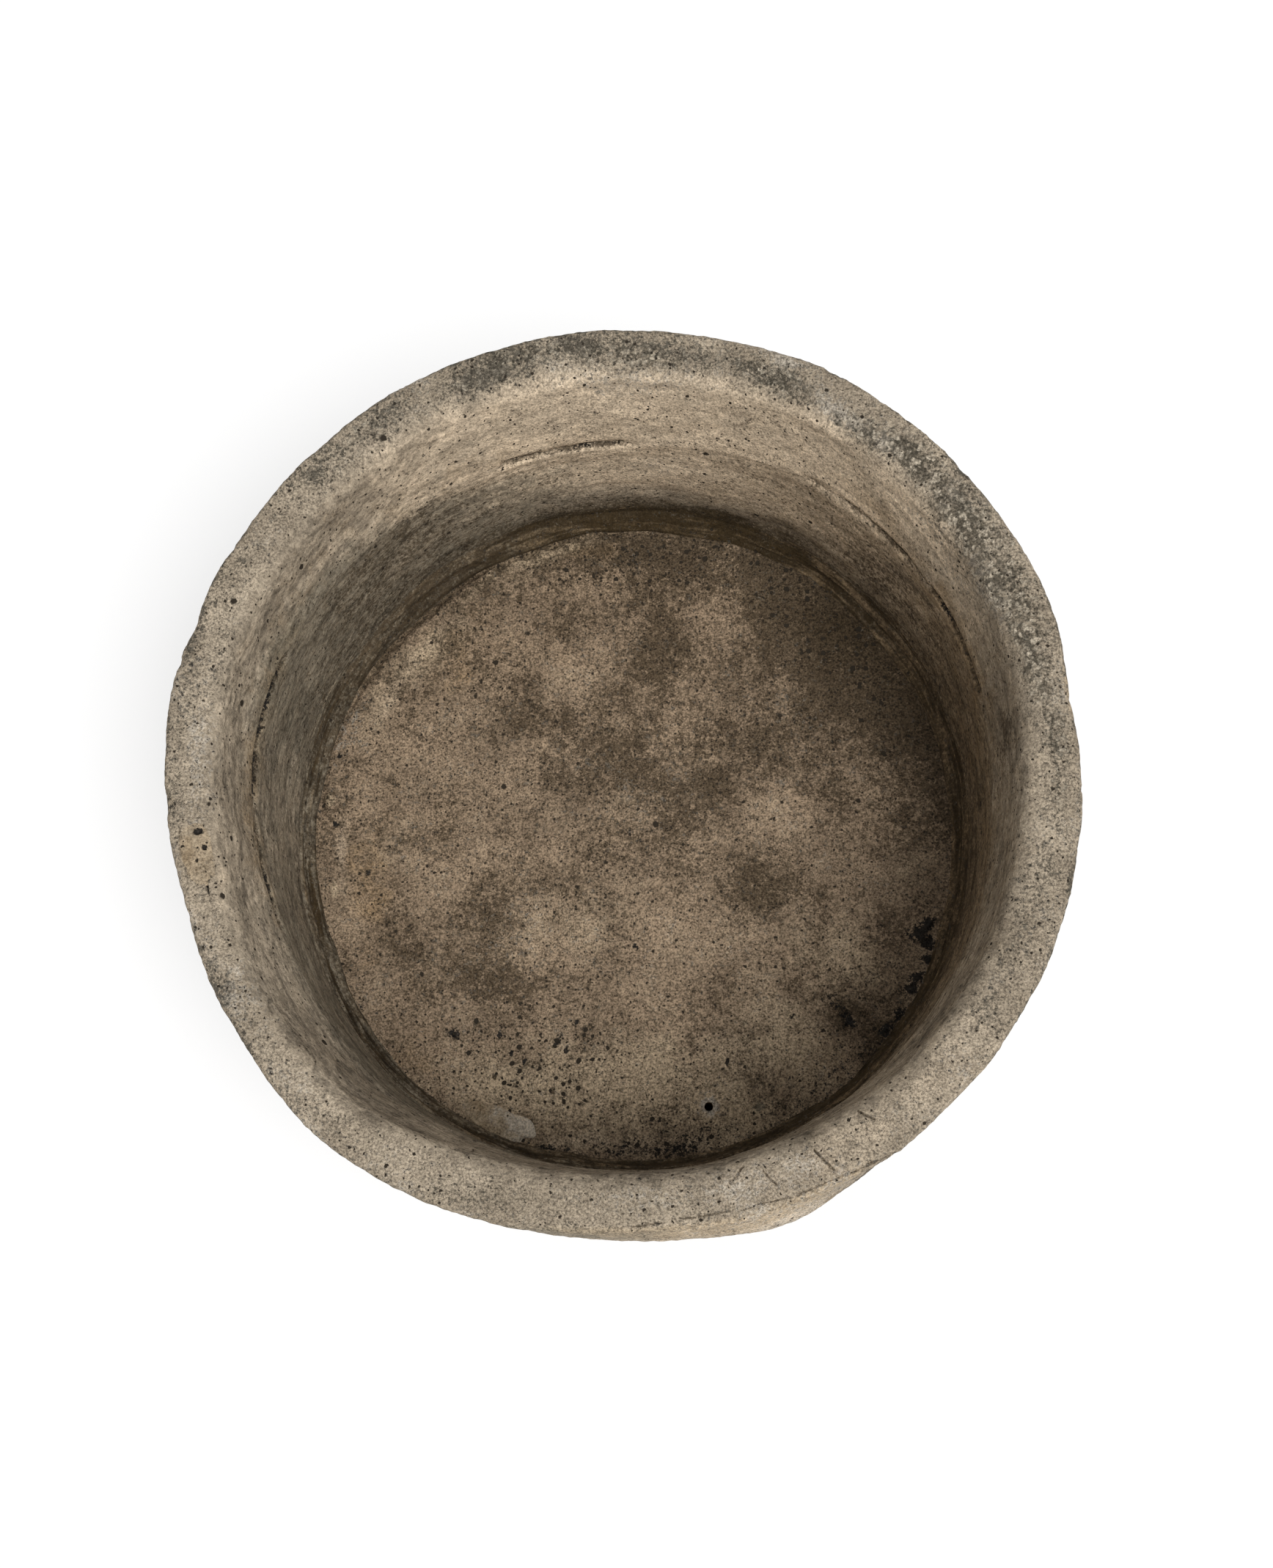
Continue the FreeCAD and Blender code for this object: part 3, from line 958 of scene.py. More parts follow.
@dataclass(frozen=True)
class RustFinish:
    """Rusted iron of the bars and hoops inside the stone."""

    name: str = "rusted_iron"
    brown: Colour = (0.120, 0.050, 0.025)
    black: Colour = (0.035, 0.028, 0.024)

    def material(self) -> bpy.types.Material:
        """Builds the material.

        Returns:
            The finished material.
        """
        material, graph, shader = start_material(self.name)
        place = graph.add("ShaderNodeTexCoord").outputs["Object"]
        scale = graph.noise(place, 180.0, 5.0, 0.7)
        graph.plug(shader.inputs["Base Color"], graph.blend(scale, self.black, self.brown))
        graph.plug(shader.inputs["Roughness"], graph.remap(scale, 0.3, 0.7, 0.75, 0.95))
        return material


FINISHES = {
    Slot.CAST_STONE: StoneFinish(
        name="cast_stone",
        light=(0.395, 0.327, 0.243),
        dark=(0.268, 0.219, 0.160),
        fine_pores=0.40,
        pores=0.45,
        pits=0.30,
    ),
    Slot.SCREED: StoneFinish(
        name="floor_screed",
        light=(0.310, 0.229, 0.153),
        dark=(0.205, 0.150, 0.100),
        fine_pores=0.60,
        pores=0.70,
        pits=0.40,
        cloud_scale=12.0,
        grain_contrast=1.60,
    ),
    Slot.MORTAR: StoneFinish(
        name="repair_mortar",
        light=(0.370, 0.312, 0.236),
        dark=(0.270, 0.224, 0.166),
        fine_pores=0.22,
        pores=0.20,
        pits=0.10,
        grain_contrast=1.0,
    ),
}


@dataclass(frozen=True)
class HandWander:
    """How far the hand-cast trough strays from a true turned form."""

    rim: RoundCurve = RoundCurve((
        (2, -5.5), (11, -3), (20, -1), (30, 2), (46, -1), (60, 4), (80, -1), (100, 0.5), (116, 0.5),
        (125, 2.5), (136, -1), (158, 2.5), (173, 2.5), (183, -2), (192, -5), (205, -5.5), (219, -1),
        (231, 6.5), (243, 1.5), (260, 0), (272, 1), (283, 5), (296, 2), (320, 1), (336, 0.5),
        (347, -3),
    ), blur=4.0)
    lift: RoundCurve = RoundCurve((
        (20, -8), (40, 0), (55, 0), (90, -18), (105, -16), (134, -4), (160, 8),
        (185, 4), (210, -10), (230, -6), (285, 2), (315, 2),
    ))
    mouth: RoundCurve = RoundCurve((
        (0, -4), (25, 0), (185, 0), (196, 5), (205, 10), (214, 13), (226, 8), (240, 0),
        (256, -6), (272, -11), (286, -12), (298, -8), (310, -4), (325, -5), (342, -5),
    ), blur=4.0)
    lengthening: float = 0.017
    lift_reach: float = 60 * MM
    mouth_share: float = 0.85
    mouth_drop: float = 5 * MM

    def stray(self, surface: Surface, shape: TroughShape) -> None:
        """Moves a piece out of round, more towards the rim.

        Args:
            surface: Piece to move.
            shape: Main sizes of the trough.
        """
        share = surface.radius / shape.rim_radius * (0.25 + 0.75 * surface.height / shape.top)
        surface.widen(self.rim.at(surface.azimuth) * MM * share)
        surface.points[:, 1] *= 1.0 + self.lengthening

    def vary_mouth(self, surface: Surface, shape: TroughShape) -> None:
        """Makes the rim wider and narrower round the mouth.

        Args:
            surface: Rim to move.
            shape: Main sizes of the trough.
        """
        still = shape.mouth_radius + self.mouth_share * shape.rim_width
        across = 1.0 - rise(surface.radius, shape.mouth_radius, still)
        up = rise(surface.height, shape.lift, shape.top - self.mouth_drop)
        surface.widen(self.mouth.at(surface.azimuth) * MM * across * up)

    def bend_joint(self, surface: Surface, shape: TroughShape) -> None:
        """Lets the joint between the two lifts run uneven."""
        near = 1.0 - rise(np.abs(surface.height - shape.lift), 0.0, self.lift_reach)
        surface.lift(self.lift.at(surface.azimuth) * MM * near)


@dataclass(frozen=True)
class FaceRelief:
    """Roughness of the faces, shared so that pieces meet flush."""

    noise: StoneNoise
    wall_waves: float = 3.0 * MM
    wall_strata: float = 1.1 * MM
    outside_waves: float = 3.5 * MM
    top_waves: float = 2.0 * MM
    grit: float = 0.7 * MM

    def inside(self, places: np.ndarray) -> np.ndarray:
        """Gives the inner wall's waves, drag ridges and grit.

        Args:
            places: Points in metres.

        Returns:
            Height along the normal.
        """
        waves = self.noise.layers(places, (7.0, 7.0, 16.0), 3) * self.wall_waves
        strata = self.noise.layers(places, (15.0, 15.0, 55.0), 3) * self.wall_strata
        return waves + strata + self.noise.layers(places, 210.0, 2) * self.grit

    def outside(self, places: np.ndarray) -> np.ndarray:
        """Gives the outside's waves and weathered grit, as a height along the normal."""
        waves = self.noise.layers(places, 11.0, 4) * self.outside_waves
        return waves + self.noise.layers(places, 150.0, 2) * 1.5 * self.grit

    def level(self, places: np.ndarray) -> np.ndarray:
        """Gives the waves and grit of a trowelled top, as a height along the normal."""
        waves = self.noise.layers(places, 16.0, 3) * self.top_waves
        return waves + self.noise.layers(places, 190.0, 2) * self.grit


@dataclass
class Workshop:
    """What every piece is made with."""

    shape: TroughShape
    view: PhotoView
    relief: FaceRelief
    wander: HandWander
    materials: dict[Slot, bpy.types.Material]


@dataclass
class StonePiece:
    """One cast or trowelled piece of the trough."""

    shop: Workshop
    name: str = ""
    node: str = ""
    slot: Slot = Slot.CAST_STONE
    stain_scale: float = 22.0

    @property
    def shape(self) -> TroughShape:
        """Main sizes of the trough."""
        return self.shop.shape

    def clouds(self, surface: Surface, scale: float | Colour, count: int = 3) -> np.ndarray:
        """Reads layers of the shared noise on the piece."""
        return self.shop.relief.noise.layers(surface.rest, scale, count)

    def build(self) -> bmesh.types.BMesh:
        """Models the piece before weathering."""
        raise NotImplementedError

    def sculpt(self, surface: Surface) -> None:
        """Weathers the shape."""
        raise NotImplementedError

    def paint(self, surface: Surface) -> None:
        """Stains the surface."""
        raise NotImplementedError

    def make(self) -> None:
        """Models, weathers and dresses the piece and hands it to the frame."""
        form = self.build()
        for face in form.faces:
            face.smooth = True
        mesh = bpy.data.meshes.new(self.name)
        form.to_mesh(mesh)
        form.free()
        surface = Surface(mesh, self.shop.view)
        self.shop.wander.stray(surface, self.shape)
        surface.look()
        self.sculpt(surface)
        surface.look()
        self.paint(surface)
        surface.store()
        mesh.set_sharp_from_angle(angle=SHARP_ANGLE)
        mesh.materials.append(self.shop.materials[self.slot])
        piece = bpy.data.objects.new(self.name, mesh)
        bpy.context.collection.objects.link(piece)
        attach(piece, "root")
        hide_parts(self.node)
        LOG.info("%s: %d vertices in place of %s", self.name, len(mesh.vertices), self.node)


@dataclass(frozen=True)
class Corner:
    """Corner of a turned section, with the point spacing of the side that starts there."""

    radius: float
    height: float
    pitch: float
    setback: float = 0.0

    @property
    def place(self) -> Vector:
        """The corner in the plane of the section."""
        return Vector((self.radius, 0.0, self.height))


def side_pitch(sides: list[tuple[Corner, Corner]], edge: bmesh.types.BMEdge) -> float:
    """Finds the point spacing for an edge of a section.

    Args:
        sides: Start and end corner of each side.
        edge: Edge that lies on one of the sides.

    Returns:
        The spacing wanted on that side.
    """
    middle = (edge.verts[0].co + edge.verts[1].co) / 2.0
    gaps = []
    for start, end in sides:
        foot, _ = intersect_point_line(middle, start.place, end.place)
        gaps.append(((foot - middle).length, start.pitch))
    return min(gaps)[1]


def turned(corners: tuple[Corner, ...], steps: int, closed: bool = True) -> bmesh.types.BMesh:
    """Turns a section about the trough's axis.

    One sector is spun, and then doubled until it closes the round.

    Args:
        corners: Corners of the section in order.
        steps: Number of steps in a sector.
        closed: Whether the last corner joins the first.

    Returns:
        The turned form, with its faces pointing outwards.
    """
    form = bmesh.new()
    verts = [form.verts.new(corner.place) for corner in corners]
    count = len(corners) if closed else len(corners) - 1
    sides = [(corners[number], corners[(number + 1) % len(corners)]) for number in range(count)]
    for number in range(count):
        form.edges.new((verts[number], verts[(number + 1) % len(verts)]))
    for vert, corner in zip(verts, corners):
        if corner.setback:
            bmesh.ops.bevel(
                form, geom=[vert], offset=corner.setback, offset_type="OFFSET",
                segments=ROUND_SEGMENTS, profile=0.5, affect="VERTICES", material=-1,
            )
    for edge in form.edges[:]:
        cuts = round(edge.calc_length() / side_pitch(sides, edge)) - 1
        if cuts > 0:
            bmesh.ops.subdivide_edges(form, edges=[edge], cuts=cuts)
    sector = FULL_TURN / 2**DOUBLINGS
    bmesh.ops.spin(
        form, geom=form.verts[:] + form.edges[:], cent=(0, 0, 0), axis=(0, 0, 1),
        angle=sector, steps=steps,
    )
    for doubling in range(DOUBLINGS):
        whole = form.verts[:] + form.edges[:] + form.faces[:]
        copied = bmesh.ops.duplicate(form, geom=whole)["geom"]
        bmesh.ops.rotate(
            form, cent=(0, 0, 0), matrix=Matrix.Rotation(sector * 2**doubling, 3, "Z"),
            verts=[part for part in copied if isinstance(part, bmesh.types.BMVert)],
        )
    bmesh.ops.remove_doubles(form, verts=form.verts, dist=MERGE_DISTANCE)
    bmesh.ops.recalc_face_normals(form, faces=form.faces)
    return form


def refine_along(form: bmesh.types.BMesh, scratches: tuple[Scratch, ...], view: PhotoView) -> None:
    """Cuts the faces near scratches finer, so that thin cuts keep their shape.

    Args:
        form: Form to refine.
        scratches: Lines placed by pixel.
        view: The photograph's camera.
    """
    pixels = view.pixels(np.array([face.calc_center_median() for face in form.faces]))
    gap = np.min([scratch.distance(pixels) for scratch in scratches], axis=0)
    near = zip(form.faces, gap < REFINE_REACH)
    chosen = [face for face, close in near if close and face.normal.z > 0.1]
    edges = {edge for face in chosen for edge in face.edges}
    bmesh.ops.subdivide_edges(form, edges=list(edges), cuts=2, use_grid_fill=True)


def round_sheet(cells: int) -> bmesh.types.BMesh:
    """Makes a round sheet of radius 1 from a square grid.

    Args:
        cells: Number of cells along a side of the grid.

    Returns:
        The sheet at height 0.
    """
    form = bmesh.new()
    bmesh.ops.create_grid(form, x_segments=cells, y_segments=cells, size=1.0)
    for vert in form.verts:
        across, along = vert.co.x, vert.co.y
        if abs(across) >= abs(along):
            reach, turn = across, math.pi / 4.0 * along / (across or 1.0)
        else:
            reach, turn = along, math.pi / 2.0 - math.pi / 4.0 * across / along
        vert.co.x, vert.co.y = reach * math.cos(turn), reach * math.sin(turn)
    return form


def close_below(form: bmesh.types.BMesh, bottom: float) -> None:
    """Gives a sheet its edge and its underside.

    Args:
        form: Sheet to close.
        bottom: Height of the flat underside.
    """
    rim = [edge for edge in form.edges if edge.is_boundary]
    skirt = bmesh.ops.extrude_edge_only(form, edges=rim)["geom"]
    for vert in skirt:
        if isinstance(vert, bmesh.types.BMVert):
            vert.co.z = bottom
    lower = [edge for edge in skirt if isinstance(edge, bmesh.types.BMEdge) and edge.is_boundary]
    bmesh.ops.contextual_create(form, geom=lower)
    bmesh.ops.recalc_face_normals(form, faces=form.faces)


@dataclass(frozen=True)
class LaidOutline:
    """Wavy outline of mortar laid by hand, long side along the round."""

    azimuth: float
    radius: float
    length: float
    width: float
    waves: tuple[tuple[int, float, float], ...]

    def _frame(self) -> tuple[np.ndarray, np.ndarray, np.ndarray]:
        """Gives the centre and the directions along and across in plan."""
        turn = math.radians(self.azimuth)
        across = np.array((math.cos(turn), math.sin(turn)))
        along = np.array((-across[1], across[0]))
        return across * self.radius, along, across

    def edge(self, angle: np.ndarray) -> np.ndarray:
        """Gives how far the outline strays from an ellipse, 1 where it doesn't."""
        return 1.0 + sum(size * np.cos(count * angle + phase) for count, size, phase in self.waves)

    def lay(self, places: np.ndarray) -> np.ndarray:
        """Lays a sheet of radius 1 on the outline.

        Args:
            places: Points of the sheet in plan.

        Returns:
            Their places on the trough in plan.
        """
        centre, along, across = self._frame()
        grown = places * self.edge(np.arctan2(places[:, 1], places[:, 0]))[:, None]
        return (
            centre
            + grown[:, :1] * along * self.length / 2.0
            + grown[:, 1:] * across * self.width / 2.0
        )

    def reach(self, places: np.ndarray) -> np.ndarray:
        """Measures how far points lie from the centre.

        Args:
            places: Points on the trough.

        Returns:
            Distance in plan, 1 on the outline.
        """
        centre, along, across = self._frame()
        offset = places[:, :2] - centre
        first, second = offset @ along * 2.0 / self.length, offset @ across * 2.0 / self.width
        return np.hypot(first, second) / self.edge(np.arctan2(second, first))


RIM_PATCH = LaidOutline(
    azimuth=191.2,
    radius=424 * MM,
    length=64 * MM,
    width=34 * MM,
    waves=((2, 0.05, 0.4), (3, 0.05, 1.0), (4, 0.05, 3.14)),
)
FLOOR_SMEAR = LaidOutline(
    azimuth=246.0,
    radius=354 * MM,
    length=78 * MM,
    width=38 * MM,
    waves=((1, 0.16, 2.9), (2, 0.10, 0.3), (3, 0.12, 2.2), (7, 0.05, 0.6)),
)


@dataclass(frozen=True)
class Chip:
    """Shell-shaped chip out of the rim's outer edge."""

    azimuth: float
    width: float
    depth: float
    drop: float

    def loss(self, surface: Surface, shape: TroughShape) -> np.ndarray:
        """Gives how far the chip cuts in at each vertex.

        Args:
            surface: The rim.
            shape: Main sizes of the trough.

        Returns:
            Depth of the cut towards the axis.
        """
        along = np.radians(arc_between(surface.azimuth, self.azimuth)) * shape.rim_radius
        down = shape.top - surface.height
        bowl = 1.0 - (2.0 * along / self.width) ** 2 - (down / self.drop) ** 2
        return self.depth * np.clip(bowl, 0.0, 1.0)


@dataclass(frozen=True)
class Spall:
    """Long flake split off the outer edge, leaving a slanting face."""

    azimuth: float = 281.0
    depth: float = 11 * MM
    drop: float = 60 * MM
    flattening: float = 150 * MM

    def loss(self, surface: Surface, shape: TroughShape) -> np.ndarray:
        """Gives how far the flake cuts in at each vertex.

        Args:
            surface: The rim.
            shape: Main sizes of the trough.

        Returns:
            Depth of the cut towards the axis.
        """
        turn = np.radians(arc_between(surface.azimuth, self.azimuth))
        offset = self.flattening + self.depth
        cone = shape.rim_radius + self.flattening
        edge = np.sqrt(cone**2 - (offset * np.sin(turn)) ** 2) - offset * np.cos(turn)
        cut = np.where(np.abs(turn) < math.pi / 4.0, shape.rim_radius - edge, 0.0)
        left = np.clip(1.0 - (shape.top - surface.height) / self.drop, 0.0, 1.0)
        return np.clip(cut, 0.0, None) * left


@dataclass(frozen=True)
class Bulge:
    """Swelling of the outside under the split edge."""

    azimuth: float = 291.0
    height: float = 0.29
    spread: float = 8.0
    drop: float = 55 * MM
    size: float = 11 * MM

    def swell(self, surface: Surface) -> np.ndarray:
        """Gives how far the outside swells at each vertex."""
        along = arc_between(surface.azimuth, self.azimuth) / self.spread
        down = (surface.height - self.height) / self.drop
        return self.size * np.exp(-(along**2) - down**2) * surface.outer


@dataclass(frozen=True)
class JointCrack:
    """Joint between the lifts, open where the photograph shows a crack."""

    gap: RoundCurve = RoundCurve((
        (8, 0.3), (20, 4.2), (29, 6.0), (36, 2.6), (58, 3.0), (64, 0.3), (86, 0.3), (94, 4.0),
        (108, 4.0), (114, 0.3), (156, 0.3), (161, 6.5), (170, 6.5), (180, 5.5), (187, 4.5),
        (193, 7.0), (199, 4.5), (204, 0.3), (296, 0.3), (310, 1.0), (340, 0.3),
    ), blur=2.0)
    reach: float = 9 * MM
    groove: float = 4.0 * MM
    jag: float = 5 * MM
    rust_reach: float = 22 * MM

    def open(self, surface: Surface, shop: Workshop, side: float) -> None:
        """Draws the lift's inner edge back from a jagged joint and paints shade in the open gap.

        Args:
            surface: Lift whose edge is at the joint.
            shop: What every piece is made with.
            side: 1 for the lift above the joint, -1 for the one below.
        """
        shape, noise = shop.shape, shop.relief.noise
        near = 1.0 - rise(np.abs(surface.height - shape.lift), 0.0, self.reach)
        near *= np.exp(-np.abs(surface.radius - shape.inner_radius) / (2.0 * self.reach))
        at_joint = surface.rest * (1.0, 1.0, 0.0)
        breadth = 0.75 + 0.9 * noise.layers(at_joint, 30.0, 3)
        gap = self.gap.at(surface.azimuth) * np.clip(breadth, 0.1, 1.5) * MM
        jags = self.jag * noise.layers(at_joint, 45.0, 3)
        surface.lift(near * (side * gap / 2.0 + jags))
        surface.widen(self.groove * near * rise(gap, 0.0, 3.0 * MM))
        # Painted shade: DAMP, and TAR where the gap is wide, darken the open crack, standing in for
        # the shade inside it; OCHRE below is rust.
        dark = near * rise(gap, 0.2 * MM, 3.0 * MM)
        black = rise(near, 0.5, 0.95) * rise(gap, 2.5 * MM, 5.0 * MM)
        surface.stain(Tint.DAMP, 0.8 * dark * surface.inner)
        surface.stain(Tint.TAR, black * surface.inner)
        beside = np.exp(-((surface.height - shape.lift) / self.rust_reach) ** 2) * surface.inner
        surface.stain(Tint.OCHRE, 0.45 * beside * rise(gap, 0.6 * MM, 3.0 * MM))


def weather_faces(surface: Surface, relief: FaceRelief) -> None:
    """Roughens the inner and outer faces of a lift."""
    inner, outer = mostly(surface.inner), mostly(surface.outer)
    surface.widen(outer * relief.outside(surface.rest) - inner * relief.inside(surface.rest))


WALL_MARKS: Marks = {
    # Painted light and pale wash: the first two SAND marks and the first PALE mark lighten the far
    # wall, which faces the lamp.
    Tint.SAND: (
        Mark(885, 640, 60, 18, 0, 0.55), Mark(985, 622, 70, 14, 8, 0.55),
        Mark(1300, 780, 90, 15, 68, 0.45), Mark(1240, 695, 60, 14, 42, 0.50),
        Mark(1118, 678, 44, 20, 35, 0.50), Mark(1134, 624, 50, 12, 32, 0.40),
    ),
    Tint.PALE: (
        Mark(900, 636, 50, 16, 0, 0.30), Mark(1300, 780, 90, 15, 68, 0.30),
        Mark(1335, 765, 50, 22, 60, 0.35), Mark(1240, 695, 60, 14, 42, 0.30),
    ),
    Tint.OCHRE: (
        Mark(1176, 678, 40, 10, 45, 0.60), Mark(1010, 668, 90, 12, 10, 0.60),
        Mark(1105, 700, 60, 12, 30, 0.60), Mark(700, 655, 80, 10, -20, 0.50),
    ),
    Tint.DAMP: (
        Mark(1370, 1000, 8, 50, 4, 0.55), Mark(492, 788, 64, 30, -48, 0.32),
        Mark(575, 718, 60, 28, -36, 0.28), Mark(1195, 772, 60, 22, 46, 0.34),
    ),
}


@dataclass(frozen=True)
class WallStains:
    """Stains of the inner wall and the outside, by direction round the trough; some also paint
    light and shade.
    """

    algae: RoundCurve = RoundCurve((
        (90, 0.1), (112, 0.8), (130, 1.1), (155, 1.15), (178, 0.45), (215, 0.8), (245, 0.8),
        (285, 0.9), (320, 0.3), (20, 0.0),
    ))
    algae_top: RoundCurve = RoundCurve((
        (95, -55), (116, -25), (138, 15), (155, 30), (205, 20), (240, 0),
    ))
    # Damp staining round the trough; on the near and right walls, which face away from the lamp, it
    # is also painted shade.
    damp: RoundCurve = RoundCurve((
        (245, 0.25), (275, 0.60), (300, 0.60), (320, 0.55), (350, 0.65), (25, 0.55), (50, 0.34),
        (75, 0.12), (105, 0.20), (122, 0.52), (150, 0.46), (180, 0.12), (225, 0.2),
    ))
    earth: RoundCurve = RoundCurve((
        (300, 0.5), (340, 0.9), (20, 0.9), (45, 0.6), (65, 0.5), (90, 0.15), (130, 0.3), (170, 0.1),
        (260, 0.1),
    ))
    ochre: RoundCurve = RoundCurve((
        (30, 0.35), (65, 0.5), (95, 0.35), (130, 0.3), (165, 0.2), (215, 0.0), (330, 0.1),
    ))
    # Pale sandy wash round the trough, strongest on the far side, where it is also painted light on
    # the wall that faces the lamp.
    sand: RoundCurve = RoundCurve((
        (0, 0.0), (30, 0.45), (50, 0.90), (72, 1.00), (100, 1.00), (120, 0.80), (135, 0.45),
        (150, 0.15), (200, 0.0),
    ))
    seams: RoundCurve = RoundCurve((
        (0, 0.50), (45, 0.50), (70, 0.15), (110, 0.15), (150, 0.20), (200, 0.25), (235, 0.35),
        (280, 0.70), (335, 0.60),
    ))
    # Dark foot of the wall round the trough: mud, and painted shade in the corner with the floor.
    foot_mud_and_shade: RoundCurve = RoundCurve((
        (0, 0.30), (30, 0.22), (50, 0.50), (68, 0.95), (90, 1.10), (106, 0.85), (120, 0.42),
        (138, 0.22), (155, 0.26), (180, 0.20), (225, 0.20), (260, 0.35), (320, 0.45),
    ))
    outside_lichen: RoundCurve = RoundCurve((
        (230, 1.0), (252, 0.2), (310, 0.2), (335, 1.0), (90, 1.1),
    ))
    joint_fade: float = 30 * MM
    rust_reach: float = 45 * MM
    sand_and_light_from: float = 45 * MM
    sand_and_light_full: float = 120 * MM
    foot_mud_and_shade_full: float = 15 * MM
    foot_mud_and_shade_to: float = 82 * MM
    splash_to: float = 90 * MM
    crown_depth: float = 130 * MM
    seam_scale: Colour = (8.0, 8.0, 62.0)
    cloud_scale: float = 8.0

    def paint(self, surface: Surface, shop: Workshop) -> None:
        """Stains both sides of a piece.

        Args:
            surface: Piece to stain.
            shop: What every piece is made with.
        """
        self._paint_inside(surface, shop)
        self._paint_outside(surface, shop)
        surface.add_marks(WALL_MARKS, surface.inner)

    def _paint_inside(self, surface: Surface, shop: Workshop) -> None:
        """Stains the inner wall and paints light and shade on it.

        Args:
            surface: Piece to stain.
            shop: What every piece is made with.
        """
        shape, inside, turn = shop.shape, surface.inner, surface.azimuth
        over_joint = surface.height - shape.lift
        over_floor = surface.height - shape.floor
        low = 1.0 - rise(surface.height, shape.floor, shape.lift)
        below = 1.0 - rise(over_joint, -self.joint_fade, self.joint_fade)
        over_algae = over_joint - self.algae_top.at(turn) * MM
        grown = 1.0 - rise(over_algae, -self.joint_fade, self.joint_fade)
        surface.stain(Tint.ALGAE, inside * self.algae.at(turn) * (0.10 + 0.90 * grown))
        # DAMP: damp staining, and painted shade on the near and right walls.
        surface.stain(Tint.DAMP, inside * self.damp.at(turn) * (0.12 + 0.25 * below + 0.63 * low))
        surface.stain(Tint.EARTH, inside * self.earth.at(turn) * (0.3 + 0.5 * below))
        # Painted light and sandy wash: SAND lightens the upper wall, most on the far side, which
        # faces the lamp.
        high = rise(over_floor, self.sand_and_light_from, self.sand_and_light_full)
        surface.stain(Tint.SAND, inside * self.sand.at(turn) * high * (0.72 + 0.28 * below))
        # Painted shade and mud: MUD darkens the wall towards the floor, standing in for the shade
        # of the corner as well as dirt.
        foot = 1.0 - rise(over_floor, self.foot_mud_and_shade_full, self.foot_mud_and_shade_to)
        surface.stain(Tint.MUD, inside * self.foot_mud_and_shade.at(turn) * foot)
        seam = rise(shop.relief.noise.layers(surface.rest, self.seam_scale, 3), 0.05, 0.35)
        surface.stain(Tint.MUD, inside * seam * below * self.seams.at(turn))
        rust = np.exp(-(over_joint / self.rust_reach) ** 2)
        surface.stain(Tint.OCHRE, inside * self.ochre.at(turn) * (0.35 + 0.65 * rust))

    def _paint_outside(self, surface: Surface, shop: Workshop) -> None:
        """Stains the outside, splashed at the foot and grown over at the crown.

        Args:
            surface: Piece to stain.
            shop: What every piece is made with.
        """
        shape, outside = shop.shape, surface.outer
        cloud = shop.relief.noise.layers(surface.rest, self.cloud_scale, 3)
        splash = 1.0 - rise(surface.height, 0.0, self.splash_to)
        crown = rise(surface.height, shape.top - self.crown_depth, shape.top)
        lichen = crown * self.outside_lichen.at(surface.azimuth)
        surface.stain(Tint.DAMP, outside * splash * (0.55 + 0.4 * cloud))
        surface.stain(Tint.LICHEN, outside * lichen * (0.40 + 0.5 * cloud))
        surface.stain(Tint.ALGAE, outside * (0.30 + 0.8 * cloud))
        surface.stain(Tint.PALE, outside * (0.15 - 0.7 * cloud))


WALL_STAINS = WallStains()

